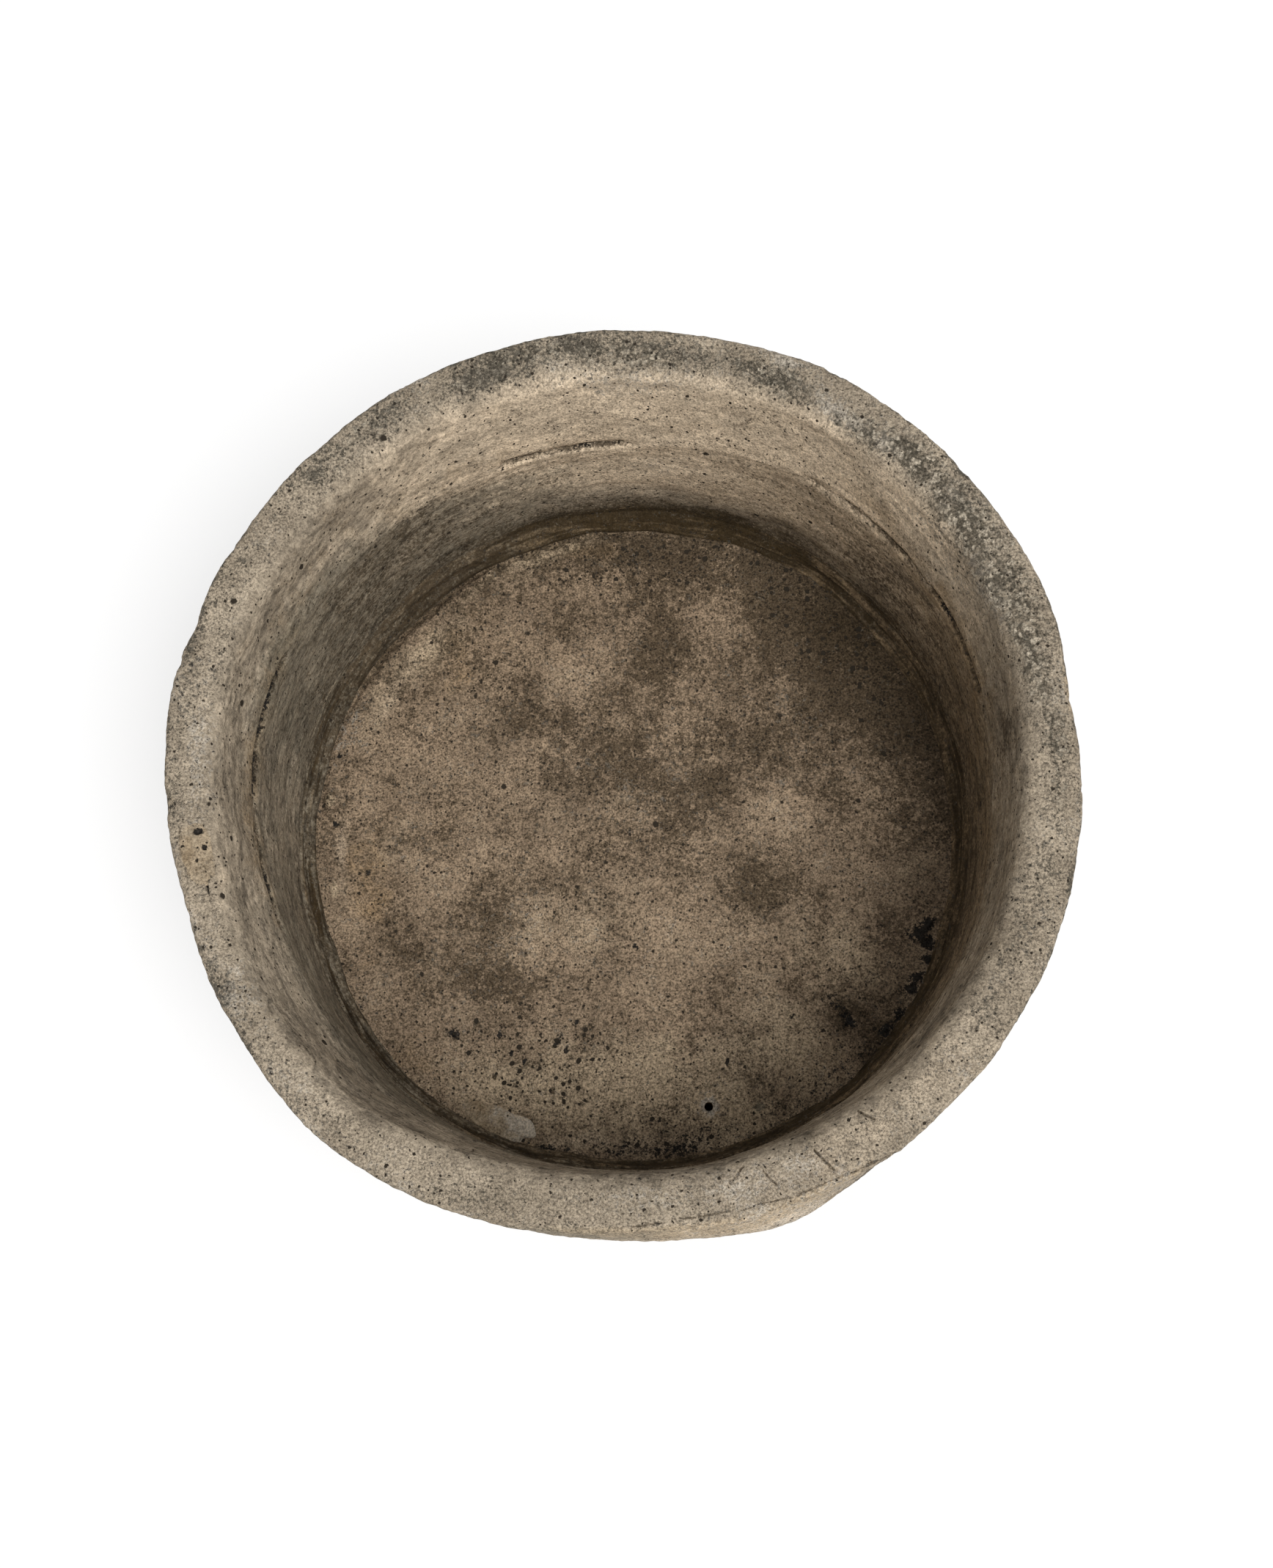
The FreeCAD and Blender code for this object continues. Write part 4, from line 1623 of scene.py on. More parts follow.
RIM_MARKS: Marks = {
    Tint.LICHEN: (
        Mark(700, 494, 95, 26, -15, 0.44), Mark(800, 472, 80, 18, 0, 0.55),
        Mark(930, 480, 75, 20, 8, 0.50), Mark(1072, 520, 34, 24, 25, 0.68),
        Mark(1020, 505, 30, 14, 20, 0.44), Mark(1160, 580, 30, 12, 35, 0.44),
        Mark(1243, 625, 34, 22, 40, 0.36), Mark(1320, 700, 48, 34, 55, 0.24),
        Mark(1380, 790, 50, 28, 65, 0.20), Mark(1415, 900, 60, 26, 80, 0.22),
        Mark(1440, 1000, 55, 16, 85, 0.34), Mark(1395, 1240, 70, 24, 105, 0.32),
        Mark(1350, 1360, 70, 22, 120, 0.34), Mark(655, 512, 55, 24, -25, 0.42),
        Mark(518, 570, 46, 26, -35, 0.55), Mark(440, 637, 40, 26, -48, 0.50),
        Mark(345, 745, 60, 14, -56, 0.30), Mark(268, 860, 50, 12, -70, 0.52),
        Mark(252, 960, 60, 16, -82, 0.36), Mark(300, 905, 46, 16, -72, 0.34),
        Mark(243, 1095, 30, 10, 90, 0.36), Mark(300, 1340, 70, 18, 65, 0.38),
        Mark(390, 1480, 80, 22, 48, 0.34), Mark(625, 1628, 90, 22, 14, 0.27),
        Mark(1230, 1490, 70, 16, 135, 0.14), Mark(1430, 1140, 80, 24, 95, 0.26),
    ),
    Tint.CRUST: (
        Mark(480, 610, 90, 34, -42, 0.40), Mark(1060, 520, 60, 30, 20, 0.55),
        Mark(1170, 580, 66, 26, 32, 0.52), Mark(1245, 625, 50, 26, 42, 0.75),
        Mark(1312, 705, 70, 44, 52, 0.72), Mark(1370, 800, 70, 44, 65, 0.62),
        Mark(1410, 900, 66, 30, 76, 0.62), Mark(1436, 1000, 60, 22, 84, 0.50),
        Mark(860, 486, 150, 26, 4, 0.60), Mark(640, 520, 110, 30, -24, 0.46),
        Mark(625, 1628, 70, 18, 14, 0.34), Mark(1446, 1110, 70, 20, 92, 0.34),
    ),
    Tint.SAND: (
        Mark(1150, 1565, 130, 40, -36, 0.30), Mark(1300, 1430, 100, 34, -56, 0.26),
        # Painted highlight: the narrow SAND mark beside the patch lightens the lip.
        Mark(303, 1190, 8, 60, 0, 0.40),
    ),
    Tint.EARTH: (
        Mark(352, 1165, 16, 44, 5, 0.42), Mark(338, 1085, 14, 60, 0, 0.34),
    ),
    Tint.OCHRE: (
        Mark(392, 880, 14, 60, 20, 0.40), Mark(880, 640, 130, 20, 0, 0.60),
        Mark(1020, 655, 70, 18, 18, 0.65), Mark(1225, 690, 30, 16, 42, 0.50),
        Mark(640, 660, 60, 20, -25, 0.45),
    ),
    Tint.PALE: (
        Mark(1072, 494, 26, 10, 15, 0.75), Mark(1150, 570, 46, 14, 32, 0.55),
        Mark(1215, 610, 26, 14, 40, 0.60), Mark(1310, 680, 40, 18, 52, 0.60),
        Mark(1350, 810, 44, 20, 65, 0.50), Mark(860, 520, 130, 26, 0, 0.40),
        Mark(275, 1010, 24, 80, 0, 0.35), Mark(330, 1350, 30, 60, -25, 0.35),
        Mark(1000, 1610, 120, 30, -15, 0.30),
    ),
}
RIM_SCRATCHES = (
    Scratch(((1117, 1580), (1126, 1588), (1140, 1601)), 2.4, 3.0 * MM),
    Scratch(((1018, 1607), (1009, 1620), (1000, 1630)), 2.2, 2.0 * MM),
    Scratch(((1046, 1611), (1055, 1620), (1064, 1627)), 2.2, 2.2 * MM),
    Scratch(((1176, 1523), (1196, 1531)), 2.2, 1.8 * MM),
    Scratch(((1330, 720), (1352, 742)), 2.4, 1.8 * MM),
    Scratch(((517, 726), (519, 736)), 2.8, 2.5 * MM),
)
SPLIT_LINE = Scratch((
    (862, 1686), (906, 1679), (1021, 1661), (1090, 1640), (1135, 1619), (1181, 1596), (1222, 1571),
), 2.6, 1.2 * MM)
SPLIT_MARKS: Marks = {
    Tint.SAND: (
        Mark(985, 1677, 110, 11, -10, 0.68), Mark(1085, 1652, 60, 10, -22, 0.52),
    ),
    Tint.EARTH: (Mark(1150, 1632, 60, 11, -33, 0.70),),
    Tint.LICHEN: (Mark(1170, 1614, 40, 9, -38, 0.45),),
}
RIM_CHIPS = (
    Chip(9.0, 96 * MM, 5 * MM, 26 * MM),
    Chip(161.0, 44 * MM, 3 * MM, 18 * MM),
    Chip(166.0, 16 * MM, 2.5 * MM, 10 * MM),
    Chip(184.0, 34 * MM, 4 * MM, 14 * MM),
    Chip(209.0, 12 * MM, 3 * MM, 9 * MM),
    Chip(318.0, 26 * MM, 4 * MM, 12 * MM),
    Chip(41.0, 20 * MM, 3 * MM, 10 * MM),
    Chip(62.0, 15 * MM, 3 * MM, 9 * MM),
)


PATCH_HOLES = (
    Dent(269, 1133, 7, 4.5, -14, 5.0 * MM, Tint.TAR),
    Dent(278, 1155, 4, 4, 0, 4.0 * MM, Tint.TAR),
    Dent(286, 1209, 3, 9, -14, 4.0 * MM, Tint.TAR),
)
PATCH_MARKS: Marks = {
    Tint.EARTH: (Mark(257, 1165, 10, 24, 8, 0.42),),
    Tint.PITTED: (Mark(258, 1165, 16, 34, 0, 0.80),),
    # Painted highlight: PALE lightens the lip along the patch's inner edge.
    Tint.PALE: (Mark(294, 1160, 7, 30, 0, 0.45),),
}


@dataclass
class RimCourse(StonePiece):
    """Upper lift: the rim with its worn lip, broken edge and sloping mouth."""

    name: str = "rim_course_weathered"
    node: str = "rim_course"
    spall: Spall = Spall()
    bulge: Bulge = Bulge()
    crack: JointCrack = JointCrack()
    joint_pitch: float = 22 * MM
    outside_pitch: float = 4 * MM
    top_pitch: float = 2.6 * MM
    slope_pitch: float = 2.8 * MM
    nick: float = 5 * MM
    nick_scale: float = 60.0
    nick_start: float = 0.22
    nick_band: tuple[float, float] = (4 * MM, 16 * MM)
    fresh_loss: tuple[float, float] = (2 * MM, 5 * MM)
    flat_band: tuple[float, float] = (-5 * MM, 20 * MM)
    pocket: float = 3 * MM

    def build(self) -> bmesh.types.BMesh:
        """Turns the rim's section.

        Returns:
            The clean rim.
        """
        shape = self.shape
        form = turned((
            Corner(shape.inner_radius, shape.lift, self.joint_pitch),
            Corner(shape.outer_radius(shape.lift), shape.lift, self.outside_pitch),
            Corner(shape.rim_radius, shape.top, self.top_pitch, shape.edge_setback),
            Corner(shape.mouth_radius, shape.top, self.slope_pitch, shape.lip_setback),
        ), SECTOR_STEPS)
        refine_along(form, RIM_SCRATCHES, self.shop.view)
        return form

    def sculpt(self, surface: Surface) -> None:
        """Wears the rim and breaks its edge.

        Args:
            surface: The rim's vertices.
        """
        shape, shop = self.shape, self.shop
        shop.wander.vary_mouth(surface, shape)
        weather_faces(surface, shop.relief)
        top = mostly(surface.upper)
        surface.lift(top * shop.relief.level(surface.rest))
        flat = np.clip((surface.radius - shape.mouth_radius) / shape.rim_width, 0.0, 1.0)
        loss = self.spall.loss(surface, shape)
        for chip in RIM_CHIPS:
            loss = np.maximum(loss, chip.loss(surface, shape))
        edge = 1.0 - rise(shape.top - surface.height, *self.nick_band)
        nicks = self.clouds(surface, self.nick_scale, 2) - self.nick_start
        loss += self.nick * np.clip(nicks, 0.0, 0.6) * edge
        surface.widen(self.bulge.swell(surface) - loss * flat)
        surface.stain(Tint.FRESH, rise(loss, *self.fresh_loss) * surface.outer)
        reach = RIM_PATCH.reach(surface.rest)
        surface.lift(-self.pocket * (1.0 - rise(reach, 0.86, 1.0)) * top)
        # Painted shade: a dark DAMP line round the patch's edge stands in for the shade in its
        # joint.
        seam = rise(reach, 0.86, 0.98) - rise(reach, 1.02, 1.12)
        surface.stain(Tint.DAMP, 0.50 * top * seam)
        surface.add_dents(PATCH_HOLES, top)
        surface.add_scratches(RIM_SCRATCHES, 1.0 - surface.outer)
        surface.add_scratches((SPLIT_LINE,), 0.6 * (1.0 - surface.inner))
        self.crack.open(surface, shop, 1.0)
        shop.wander.bend_joint(surface, shape)

    def paint(self, surface: Surface) -> None:
        """Stains the rim.

        Args:
            surface: The rim's vertices.
        """
        WALL_STAINS.paint(surface, self.shop)
        flat = rise(surface.radius - self.shape.mouth_radius, *self.flat_band)
        cloud = self.clouds(surface, self.stain_scale)
        surface.stain(Tint.LICHEN, surface.upper * flat * (0.06 + 0.35 * cloud))
        surface.stain(Tint.PALE, surface.upper * flat * (0.14 - 0.45 * cloud))
        surface.add_marks(RIM_MARKS, np.clip(surface.upper + surface.inner, 0.0, 1.0))
        surface.add_marks(SPLIT_MARKS, surface.outer)


@dataclass
class LowerWall(StonePiece):
    """Lower lift of the wall, struck smooth inside with a board."""

    name: str = "lower_wall_weathered"
    node: str = "lower_wall"
    bulge: Bulge = Bulge()
    crack: JointCrack = JointCrack()
    joint_pitch: float = 22 * MM
    outside_pitch: float = 6 * MM
    inside_pitch: float = 3.2 * MM

    def build(self) -> bmesh.types.BMesh:
        """Turns the wall's section.

        Returns:
            The clean wall.
        """
        shape = self.shape
        return turned((
            Corner(shape.inner_radius, shape.slab, self.joint_pitch),
            Corner(shape.outer_radius(shape.slab), shape.slab, self.outside_pitch),
            Corner(shape.outer_radius(shape.lift), shape.lift, self.joint_pitch),
            Corner(shape.inner_radius, shape.lift, self.inside_pitch),
        ), SECTOR_STEPS)

    def sculpt(self, surface: Surface) -> None:
        """Drags the inner face and weathers the outside.

        Args:
            surface: The wall's vertices.
        """
        weather_faces(surface, self.shop.relief)
        surface.widen(self.bulge.swell(surface))
        self.crack.open(surface, self.shop, -1.0)
        self.shop.wander.bend_joint(surface, self.shape)

    def paint(self, surface: Surface) -> None:
        """Stains the wall."""
        WALL_STAINS.paint(surface, self.shop)


def open_drain(form: bmesh.types.BMesh, name: str) -> bmesh.types.BMesh:
    """Drills the drain hole through a piece.

    Args:
        form: Piece to drill; it is used up.
        name: Name for the piece while it is drilled.

    Returns:
        The drilled piece.
    """
    tools = []
    drill = bmesh.new()
    bmesh.ops.create_cone(
        drill, cap_ends=True, segments=DRAIN_SIDES, radius1=DRAIN_RADIUS, radius2=DRAIN_RADIUS,
        depth=DRILL_LENGTH, matrix=Matrix.Translation((*DRAIN_PLACE, 0.0)),
    )
    for part, source in ((name, form), ("drain_drill", drill)):
        mesh = bpy.data.meshes.new(part)
        source.to_mesh(mesh)
        source.free()
        tools.append(bpy.data.objects.new(part, mesh))
        bpy.context.collection.objects.link(tools[-1])
    blank, cutter = tools
    cut = blank.modifiers.new("drain", "BOOLEAN")
    cut.object = cutter
    cut.operation = "DIFFERENCE"
    cut.solver = "EXACT"
    drilled = bmesh.new()
    drilled.from_object(blank, bpy.context.evaluated_depsgraph_get())
    for tool in tools:
        bpy.data.meshes.remove(tool.data)
    return drilled


@dataclass
class BaseSlab(StonePiece):
    """Slab that the trough stands on."""

    name: str = "base_slab_weathered"
    node: str = "base_slab"
    steps: int = 14
    side_pitch: float = 5 * MM
    under_pitch: float = 12 * MM
    top_pitch: float = 110 * MM
    under_hollow: float = 4 * MM
    hollow_scale: float = 14.0
    stain_scale: float = 9.0

    def build(self) -> bmesh.types.BMesh:
        """Turns the slab and drills it.

        Returns:
            The clean slab.
        """
        shape = self.shape
        form = turned((
            Corner(0.0, 0.0, self.under_pitch),
            Corner(shape.foot_radius, 0.0, self.side_pitch, shape.foot_setback),
            Corner(shape.outer_radius(shape.slab), shape.slab, self.top_pitch),
            Corner(0.0, shape.slab, self.top_pitch),
        ), self.steps, closed=False)
        return open_drain(form, self.name)

    def sculpt(self, surface: Surface) -> None:
        """Weathers the side and leaves the underside rough from the ground.

        Args:
            surface: The slab's vertices.
        """
        weather_faces(surface, self.shop.relief)
        under = rise(-surface.normals[:, 2], 0.6, 0.9)
        hollow = np.clip(self.clouds(surface, self.hollow_scale, 4) * 0.5 + 0.25, 0.0, 1.0)
        surface.lift(under * hollow * self.under_hollow)

    def paint(self, surface: Surface) -> None:
        """Stains the slab.

        Args:
            surface: The slab's vertices.
        """
        WALL_STAINS.paint(surface, self.shop)
        under = rise(-surface.normals[:, 2], 0.4, 0.9)
        cloud = self.clouds(surface, self.stain_scale)
        surface.stain(Tint.DAMP, under * (0.35 + 0.5 * cloud))
        surface.stain(Tint.OCHRE, under * (0.30 - 0.5 * cloud))


FLOOR_MARKS: Marks = {
    Tint.DAMP: (
        Mark(860, 1040, 140, 80, 25, 0.55), Mark(700, 980, 60, 26, -25, 0.36),
        Mark(1110, 855, 110, 80, 35, 0.55), Mark(900, 760, 150, 40, 0, 0.25),
        Mark(880, 905, 70, 50, 0, 0.35), Mark(1012, 920, 50, 40, 0, 0.30),
        Mark(1062, 1046, 50, 50, 0, 0.30), Mark(1190, 975, 80, 70, 0, 0.60),
        Mark(600, 1318, 90, 50, 20, 0.46), Mark(690, 1262, 44, 34, 0, 0.46),
        Mark(1040, 1220, 60, 45, 0, 0.55), Mark(700, 1215, 75, 45, 0, 0.42),
        Mark(690, 1320, 70, 45, 20, 0.42), Mark(545, 1140, 60, 34, 0, 0.52),
        Mark(1010, 1345, 34, 30, 0, 0.28), Mark(1150, 1385, 14, 30, -25, 0.55),
        Mark(1200, 1420, 60, 24, -50, 0.40), Mark(1090, 1515, 80, 14, -35, 0.30),
        Mark(960, 1570, 110, 9, -12, 0.25), Mark(745, 1568, 30, 9, 10, 0.40),
        Mark(1190, 900, 90, 60, 50, 0.35), Mark(1270, 1080, 50, 150, 0, 0.18),
        Mark(900, 1100, 80, 60, 0, 0.28), Mark(967, 1508, 7, 7, 0, 0.60),
    ),
    # Painted light: the SAND mark at 860, 1558 lightens the near edge of the floor, where the near
    # wall's shadow falls.
    Tint.SAND: (
        Mark(530, 955, 50, 14, -60, 0.40), Mark(466, 1154, 10, 70, 0, 0.35),
        Mark(860, 1558, 170, 20, 0, 0.40), Mark(584, 882, 44, 12, -42, 0.50),
    ),
    # Painted light: the FRESH marks at 900, 1530, 1050, 1425, 1160, 1310, 1245, 1160, 850, 1450 and
    # 850, 1480 lighten the near and right floor, where the walls' shadow falls.
    Tint.FRESH: (
        Mark(690, 1480, 60, 40, 0, 0.40), Mark(900, 1530, 250, 40, 0, 0.50),
        Mark(1050, 1425, 90, 60, -40, 0.60), Mark(1160, 1310, 90, 56, 25, 0.55),
        Mark(1245, 1160, 40, 90, 0, 0.35), Mark(590, 885, 62, 26, -42, 0.70),
        Mark(720, 785, 54, 20, -22, 0.35), Mark(518, 950, 30, 62, 25, 0.45),
        Mark(850, 1450, 130, 52, 0, 0.45), Mark(812, 1250, 50, 60, 0, 0.45),
        Mark(755, 752, 80, 11, -17, 0.90), Mark(655, 798, 40, 8, -38, 0.60),
        Mark(850, 1480, 220, 60, 0, 0.30),
    ),
    Tint.TAR: (
        Mark(746, 1566, 24, 9, 10, 0.52), Mark(870, 1568, 120, 12, 0, 0.38),
        Mark(960, 1548, 60, 16, -20, 0.40), Mark(1090, 1500, 60, 22, -38, 0.30),
        Mark(619, 1410, 13, 8, 35, 0.85), Mark(1138, 1368, 12, 18, -25, 0.45),
        Mark(1157, 1391, 8, 14, -22, 0.95), Mark(1252, 1273, 14, 11, 15, 1.00),
        Mark(1266, 1259, 8, 9, 0, 1.30), Mark(1268, 1287, 9, 8, 0, 1.30),
        Mark(1265, 1308, 7, 7, 0, 1.30), Mark(1251, 1332, 9, 7, -40, 1.30),
        Mark(1243, 1349, 9, 7, 0, 1.30), Mark(1226, 1382, 9, 7, -40, 1.10),
        Mark(1208, 1405, 10, 8, -40, 1.00), Mark(1180, 1440, 60, 24, -45, 0.30),
    ),
    Tint.PITTED: (
        Mark(715, 1425, 125, 56, 8, 1.00), Mark(700, 1490, 120, 46, 0, 0.70),
        Mark(840, 775, 110, 30, 0, 0.90), Mark(960, 750, 120, 50, 0, 0.75),
        Mark(1120, 850, 90, 60, 40, 0.80), Mark(1175, 985, 46, 52, 20, 0.75),
        Mark(900, 1560, 200, 26, 0, 0.55), Mark(1150, 1400, 80, 60, -30, 0.40),
        Mark(650, 950, 120, 120, 0, 0.25),
    ),
    Tint.MUD: (
        Mark(1190, 870, 120, 80, 48, 0.56), Mark(1120, 850, 56, 38, 40, 0.45),
        Mark(1255, 1000, 46, 90, -8, 0.30), Mark(1000, 740, 150, 30, 10, 0.20),
    ),
    Tint.PALE: (
        Mark(812, 1255, 34, 40, 0, 0.12), Mark(1085, 980, 70, 36, 20, 0.10),
        Mark(967, 1509, 14, 13, 0, 1.10), Mark(470, 1000, 22, 60, 20, 0.30),
    ),
    Tint.OCHRE: (
        Mark(510, 1200, 40, 120, 0, 0.42), Mark(560, 1450, 60, 40, 0, 0.36),
        Mark(620, 900, 80, 60, -40, 0.34), Mark(790, 750, 90, 16, 0, 0.50),
        Mark(716, 1565, 16, 7, 0, 0.90),
    ),
}
FLOOR_DENTS = (
    Dent(619, 1410, 10, 8, 30, 3.0 * MM),
    Dent(681, 1411, 4.8, 3.2, 0, 2.5 * MM, Tint.TAR),
    Dent(759, 1422, 6.4, 3.2, -30, 2.5 * MM, Tint.TAR),
    Dent(772, 1432, 4, 4, 0, 2.5 * MM, Tint.TAR),
    Dent(697, 1437, 3.2, 4, 0, 2.0 * MM, Tint.TAR),
    Dent(652, 1433, 3.2, 3.2, 0, 2.0 * MM, Tint.TAR),
    Dent(716, 1447, 2.4, 4.8, 20, 2.0 * MM, Tint.TAR),
    Dent(787, 1393, 3.2, 3.2, 0, 2.0 * MM, Tint.TAR),
    Dent(753, 1487, 4, 5.6, 10, 2.5 * MM, Tint.DAMP),
    Dent(675, 1468, 4, 4, 0, 2.0 * MM, Tint.DAMP),
    Dent(992, 1447, 2.4, 7.2, 8, 3.0 * MM, Tint.TAR),
    Dent(1080, 1386, 3.2, 3.2, 0, 2.5 * MM, Tint.TAR),
    Dent(1156, 1390, 6.4, 14.4, -22, 4.0 * MM),
    Dent(1134, 1366, 9.6, 14.4, -25, 2.0 * MM),
    Dent(867, 1290, 3.2, 4.8, -35, 2.0 * MM, Tint.TAR),
    Dent(730, 852, 4.8, 4, 0, 2.5 * MM, Tint.DAMP),
    Dent(708, 815, 4, 4.8, 0, 2.5 * MM, Tint.DAMP),
    Dent(457, 1124, 4.8, 4, 0, 4.0 * MM, Tint.TAR),
    Dent(462, 1030, 3.2, 4, 0, 3.0 * MM, Tint.TAR),
    Dent(501, 1191, 3.2, 3.2, 0, 2.5 * MM, Tint.TAR),
    Dent(456, 1212, 4.8, 11.2, 0, -2.0 * MM, Tint.FRESH),
    Dent(450, 1091, 7.2, 10.4, 0, -4.0 * MM, Tint.FRESH),
    Dent(1209, 1402, 7.2, 4.8, 0, -2.0 * MM, Tint.FRESH),
    Dent(1037, 1509, 7.2, 6.4, 0, 1.5 * MM, Tint.ALGAE),
    Dent(1255, 1275, 14, 11, 0, -4.0 * MM),
    Dent(1266, 1260, 6.4, 6.4, 0, -3.0 * MM),
    Dent(1265, 1308, 5, 6, 0, -2.5 * MM),
    Dent(1250, 1335, 7, 6, 0, -2.5 * MM),
    Dent(1225, 1381, 6, 5, 0, -2.0 * MM),
)


@dataclass
class FloorScreed(StonePiece):
    """Trowelled floor inside the trough."""

    name: str = "floor_screed_weathered"
    node: str = "floor_screed"
    slot: Slot = Slot.SCREED
    stain_scale: float = 13.0
    cells: int = 290
    tuck: float = 3 * MM
    ragged_edge: RoundCurve = RoundCurve((
        (85, 0.0), (104, 5.0), (150, 5.0), (172, 2.5), (190, 0.0),
    ), blur=5.0)
    ragged_radius: float = 359 * MM
    ragged_slope: float = 5 * MM
    crumble: float = 9 * MM
    crumble_scale: float = 42.0
    # Painted shade towards the edge of the floor, strongest on the right and far right, under the
    # right wall; partly damp staining.
    shade: RoundCurve = RoundCurve((
        (0, 0.22), (25, 0.36), (50, 0.55), (75, 0.48), (100, 0.38), (130, 0.18), (170, 0.0),
        (240, 0.0), (300, 0.02),
    ))
    shade_from: float = 130 * MM
    shade_full: float = 380 * MM

    def build(self) -> bmesh.types.BMesh:
        """Lays the sheet, closes it below and drills it.

        Returns:
            The clean screed.
        """
        form = round_sheet(self.cells)
        reach = self.shape.inner_radius + self.tuck
        bmesh.ops.scale(form, vec=(reach, reach, 1.0), verts=form.verts)
        bmesh.ops.translate(form, vec=(0.0, 0.0, self.shape.floor), verts=form.verts)
        close_below(form, self.shape.slab)
        return open_drain(form, self.name)

    def sculpt(self, surface: Surface) -> None:
        """Leaves trowel waves, pits and a crumbled edge.

        Args:
            surface: The screed's vertices.
        """
        top = mostly(surface.upper)
        surface.lift(top * self.shop.relief.level(surface.rest))
        crumble = self.clouds(surface, self.crumble_scale) * self.crumble
        beyond = rise(surface.radius + crumble - self.ragged_radius, 0.0, self.ragged_slope)
        drop = beyond * self.ragged_edge.at(surface.azimuth)
        surface.lift(-top * drop * MM)
        surface.stain(Tint.MUD, 0.10 * top * drop)
        surface.add_dents(FLOOR_DENTS, top)

    def paint(self, surface: Surface) -> None:
        """Stains the floor, and paints shade towards its edge on the right and far right.

        Args:
            surface: The screed's vertices.
        """
        cloud = self.clouds(surface, self.stain_scale, 4)
        surface.stain(Tint.DAMP, surface.upper * (0.19 + 0.60 * cloud))
        surface.stain(Tint.PITTED, surface.upper * (0.10 + 0.50 * cloud))
        # Painted shade: DAMP darkens the floor towards its edge by direction, standing in for the
        # right wall's shade as well as damp; the pale flecks keep out of it.
        wide = rise(surface.radius, self.shade_from, self.shade_full)
        shade = wide * self.shade.at(surface.azimuth)
        out_of_painted_shade = surface.upper * (1.0 - rise(shade, 0.0, 0.3))
        surface.stain(Tint.DAMP, surface.upper * shade)
        surface.stain(Tint.PALE, out_of_painted_shade * (0.04 - 0.22 * cloud))
        surface.stain(Tint.FRESH, out_of_painted_shade * (0.10 - 0.50 * cloud))
        surface.add_marks(FLOOR_MARKS, surface.upper)


@dataclass
class FootFillet(StonePiece):
    """Mortar fillet pressed into the corner of wall and floor."""

    name: str = "foot_fillet_weathered"
    node: str = "foot_fillet"
    slot: Slot = Slot.MORTAR
    toe: float = 14 * MM
    ledge: float = 2 * MM
    rise_height: float = 42 * MM
    hollow: float = 3 * MM
    bury: float = 6 * MM
    face_pitch: float = 1.8 * MM
    hidden_pitch: float = 60 * MM
    wobble: float = 9 * MM
    wobble_scale: float = 9.0
    layer_depth: float = 3.6 * MM
    toe_creep: RoundCurve = RoundCurve(((238, 0), (258, -5), (290, -5), (315, 0)))
    crest_ledge: RoundCurve = RoundCurve((
        (0, -2.0), (20, 0.0), (50, 0.0), (75, -3.0), (205, -3.0), (225, -2.0), (300, -1.0),
        (335, -2.0),
    ))
    brown: RoundCurve = RoundCurve((
        (20, 1.0), (98, 1.0), (125, 0.15), (225, 0.15), (265, 0.7), (340, 1.0),
    ))
    layer_scale: Colour = (6.0, 6.0, 110.0)
    line_scale: Colour = (15.0, 15.0, 300.0)

    def build(self) -> bmesh.types.BMesh:
        """Turns the fillet's section.

        Returns:
            The clean fillet.
        """
        shape = self.shape
        back = shape.inner_radius + self.bury
        crest = shape.floor + self.rise_height
        return turned((
            Corner(shape.inner_radius - self.toe, shape.floor - self.bury, self.hidden_pitch),
            Corner(back, shape.floor - self.bury, self.hidden_pitch),
            Corner(back, crest, self.hidden_pitch),
            Corner(shape.inner_radius - self.ledge, crest, self.face_pitch),
            Corner(shape.inner_radius - self.toe, shape.floor, self.hidden_pitch),
        ), SECTOR_STEPS)

    def sculpt(self, surface: Surface) -> None:
        """Hollows the face and leaves it in dragged layers.

        Args:
            surface: The fillet's vertices.
        """
        share = np.clip((surface.height - self.shape.floor) / self.rise_height, 0.0, 1.0)
        face = mostly(surface.inner)
        bow = 4.0 * share * (1.0 - share) * self.hollow
        layers = self.clouds(surface, self.layer_scale) * self.layer_depth
        surface.widen(face * (bow + layers - self.shop.relief.inside(surface.rest)))
        drift = self.clouds(surface, self.wobble_scale) * self.wobble
        surface.lift(drift * share)
        surface.widen(-drift * 0.5 * (1.0 - share) * face)
        ledge = self.ledge - self.crest_ledge.at(surface.azimuth) * MM
        surface.widen(ledge * share * surface.inner)
        surface.widen(self.toe_creep.at(surface.azimuth) * MM * (1.0 - share) * face)

    def paint(self, surface: Surface) -> None:
        """Stains the fillet like the wall above it, but darker, with painted shade in the crevices
        of its layers and at its foot.

        Args:
            surface: The fillet's vertices.
        """
        WALL_STAINS.paint(surface, self.shop)
        # Painted shade and highlight: the lines follow the sculpted layers, so MUD darkens their
        # crevices while the ridges take the lighter brown EARTH, standing in for the shading of the
        # relief.
        thin = self.clouds(surface, self.line_scale, 2)
        lines = 1.3 * self.clouds(surface, self.layer_scale) + 1.5 * thin
        brown = self.brown.at(surface.azimuth)
        mud = WALL_STAINS.foot_mud_and_shade.at(surface.azimuth)
        surface.stain(Tint.EARTH, surface.inner * (0.3 + 0.7 * brown) * (0.35 - 0.8 * lines))
        surface.stain(Tint.ALGAE, 0.9 * surface.inner * (1.0 - brown))
        surface.stain(Tint.DAMP, 0.35 * surface.inner * (1.0 - brown))
        surface.stain(Tint.MUD, surface.inner * (lines + 0.30 * mud))


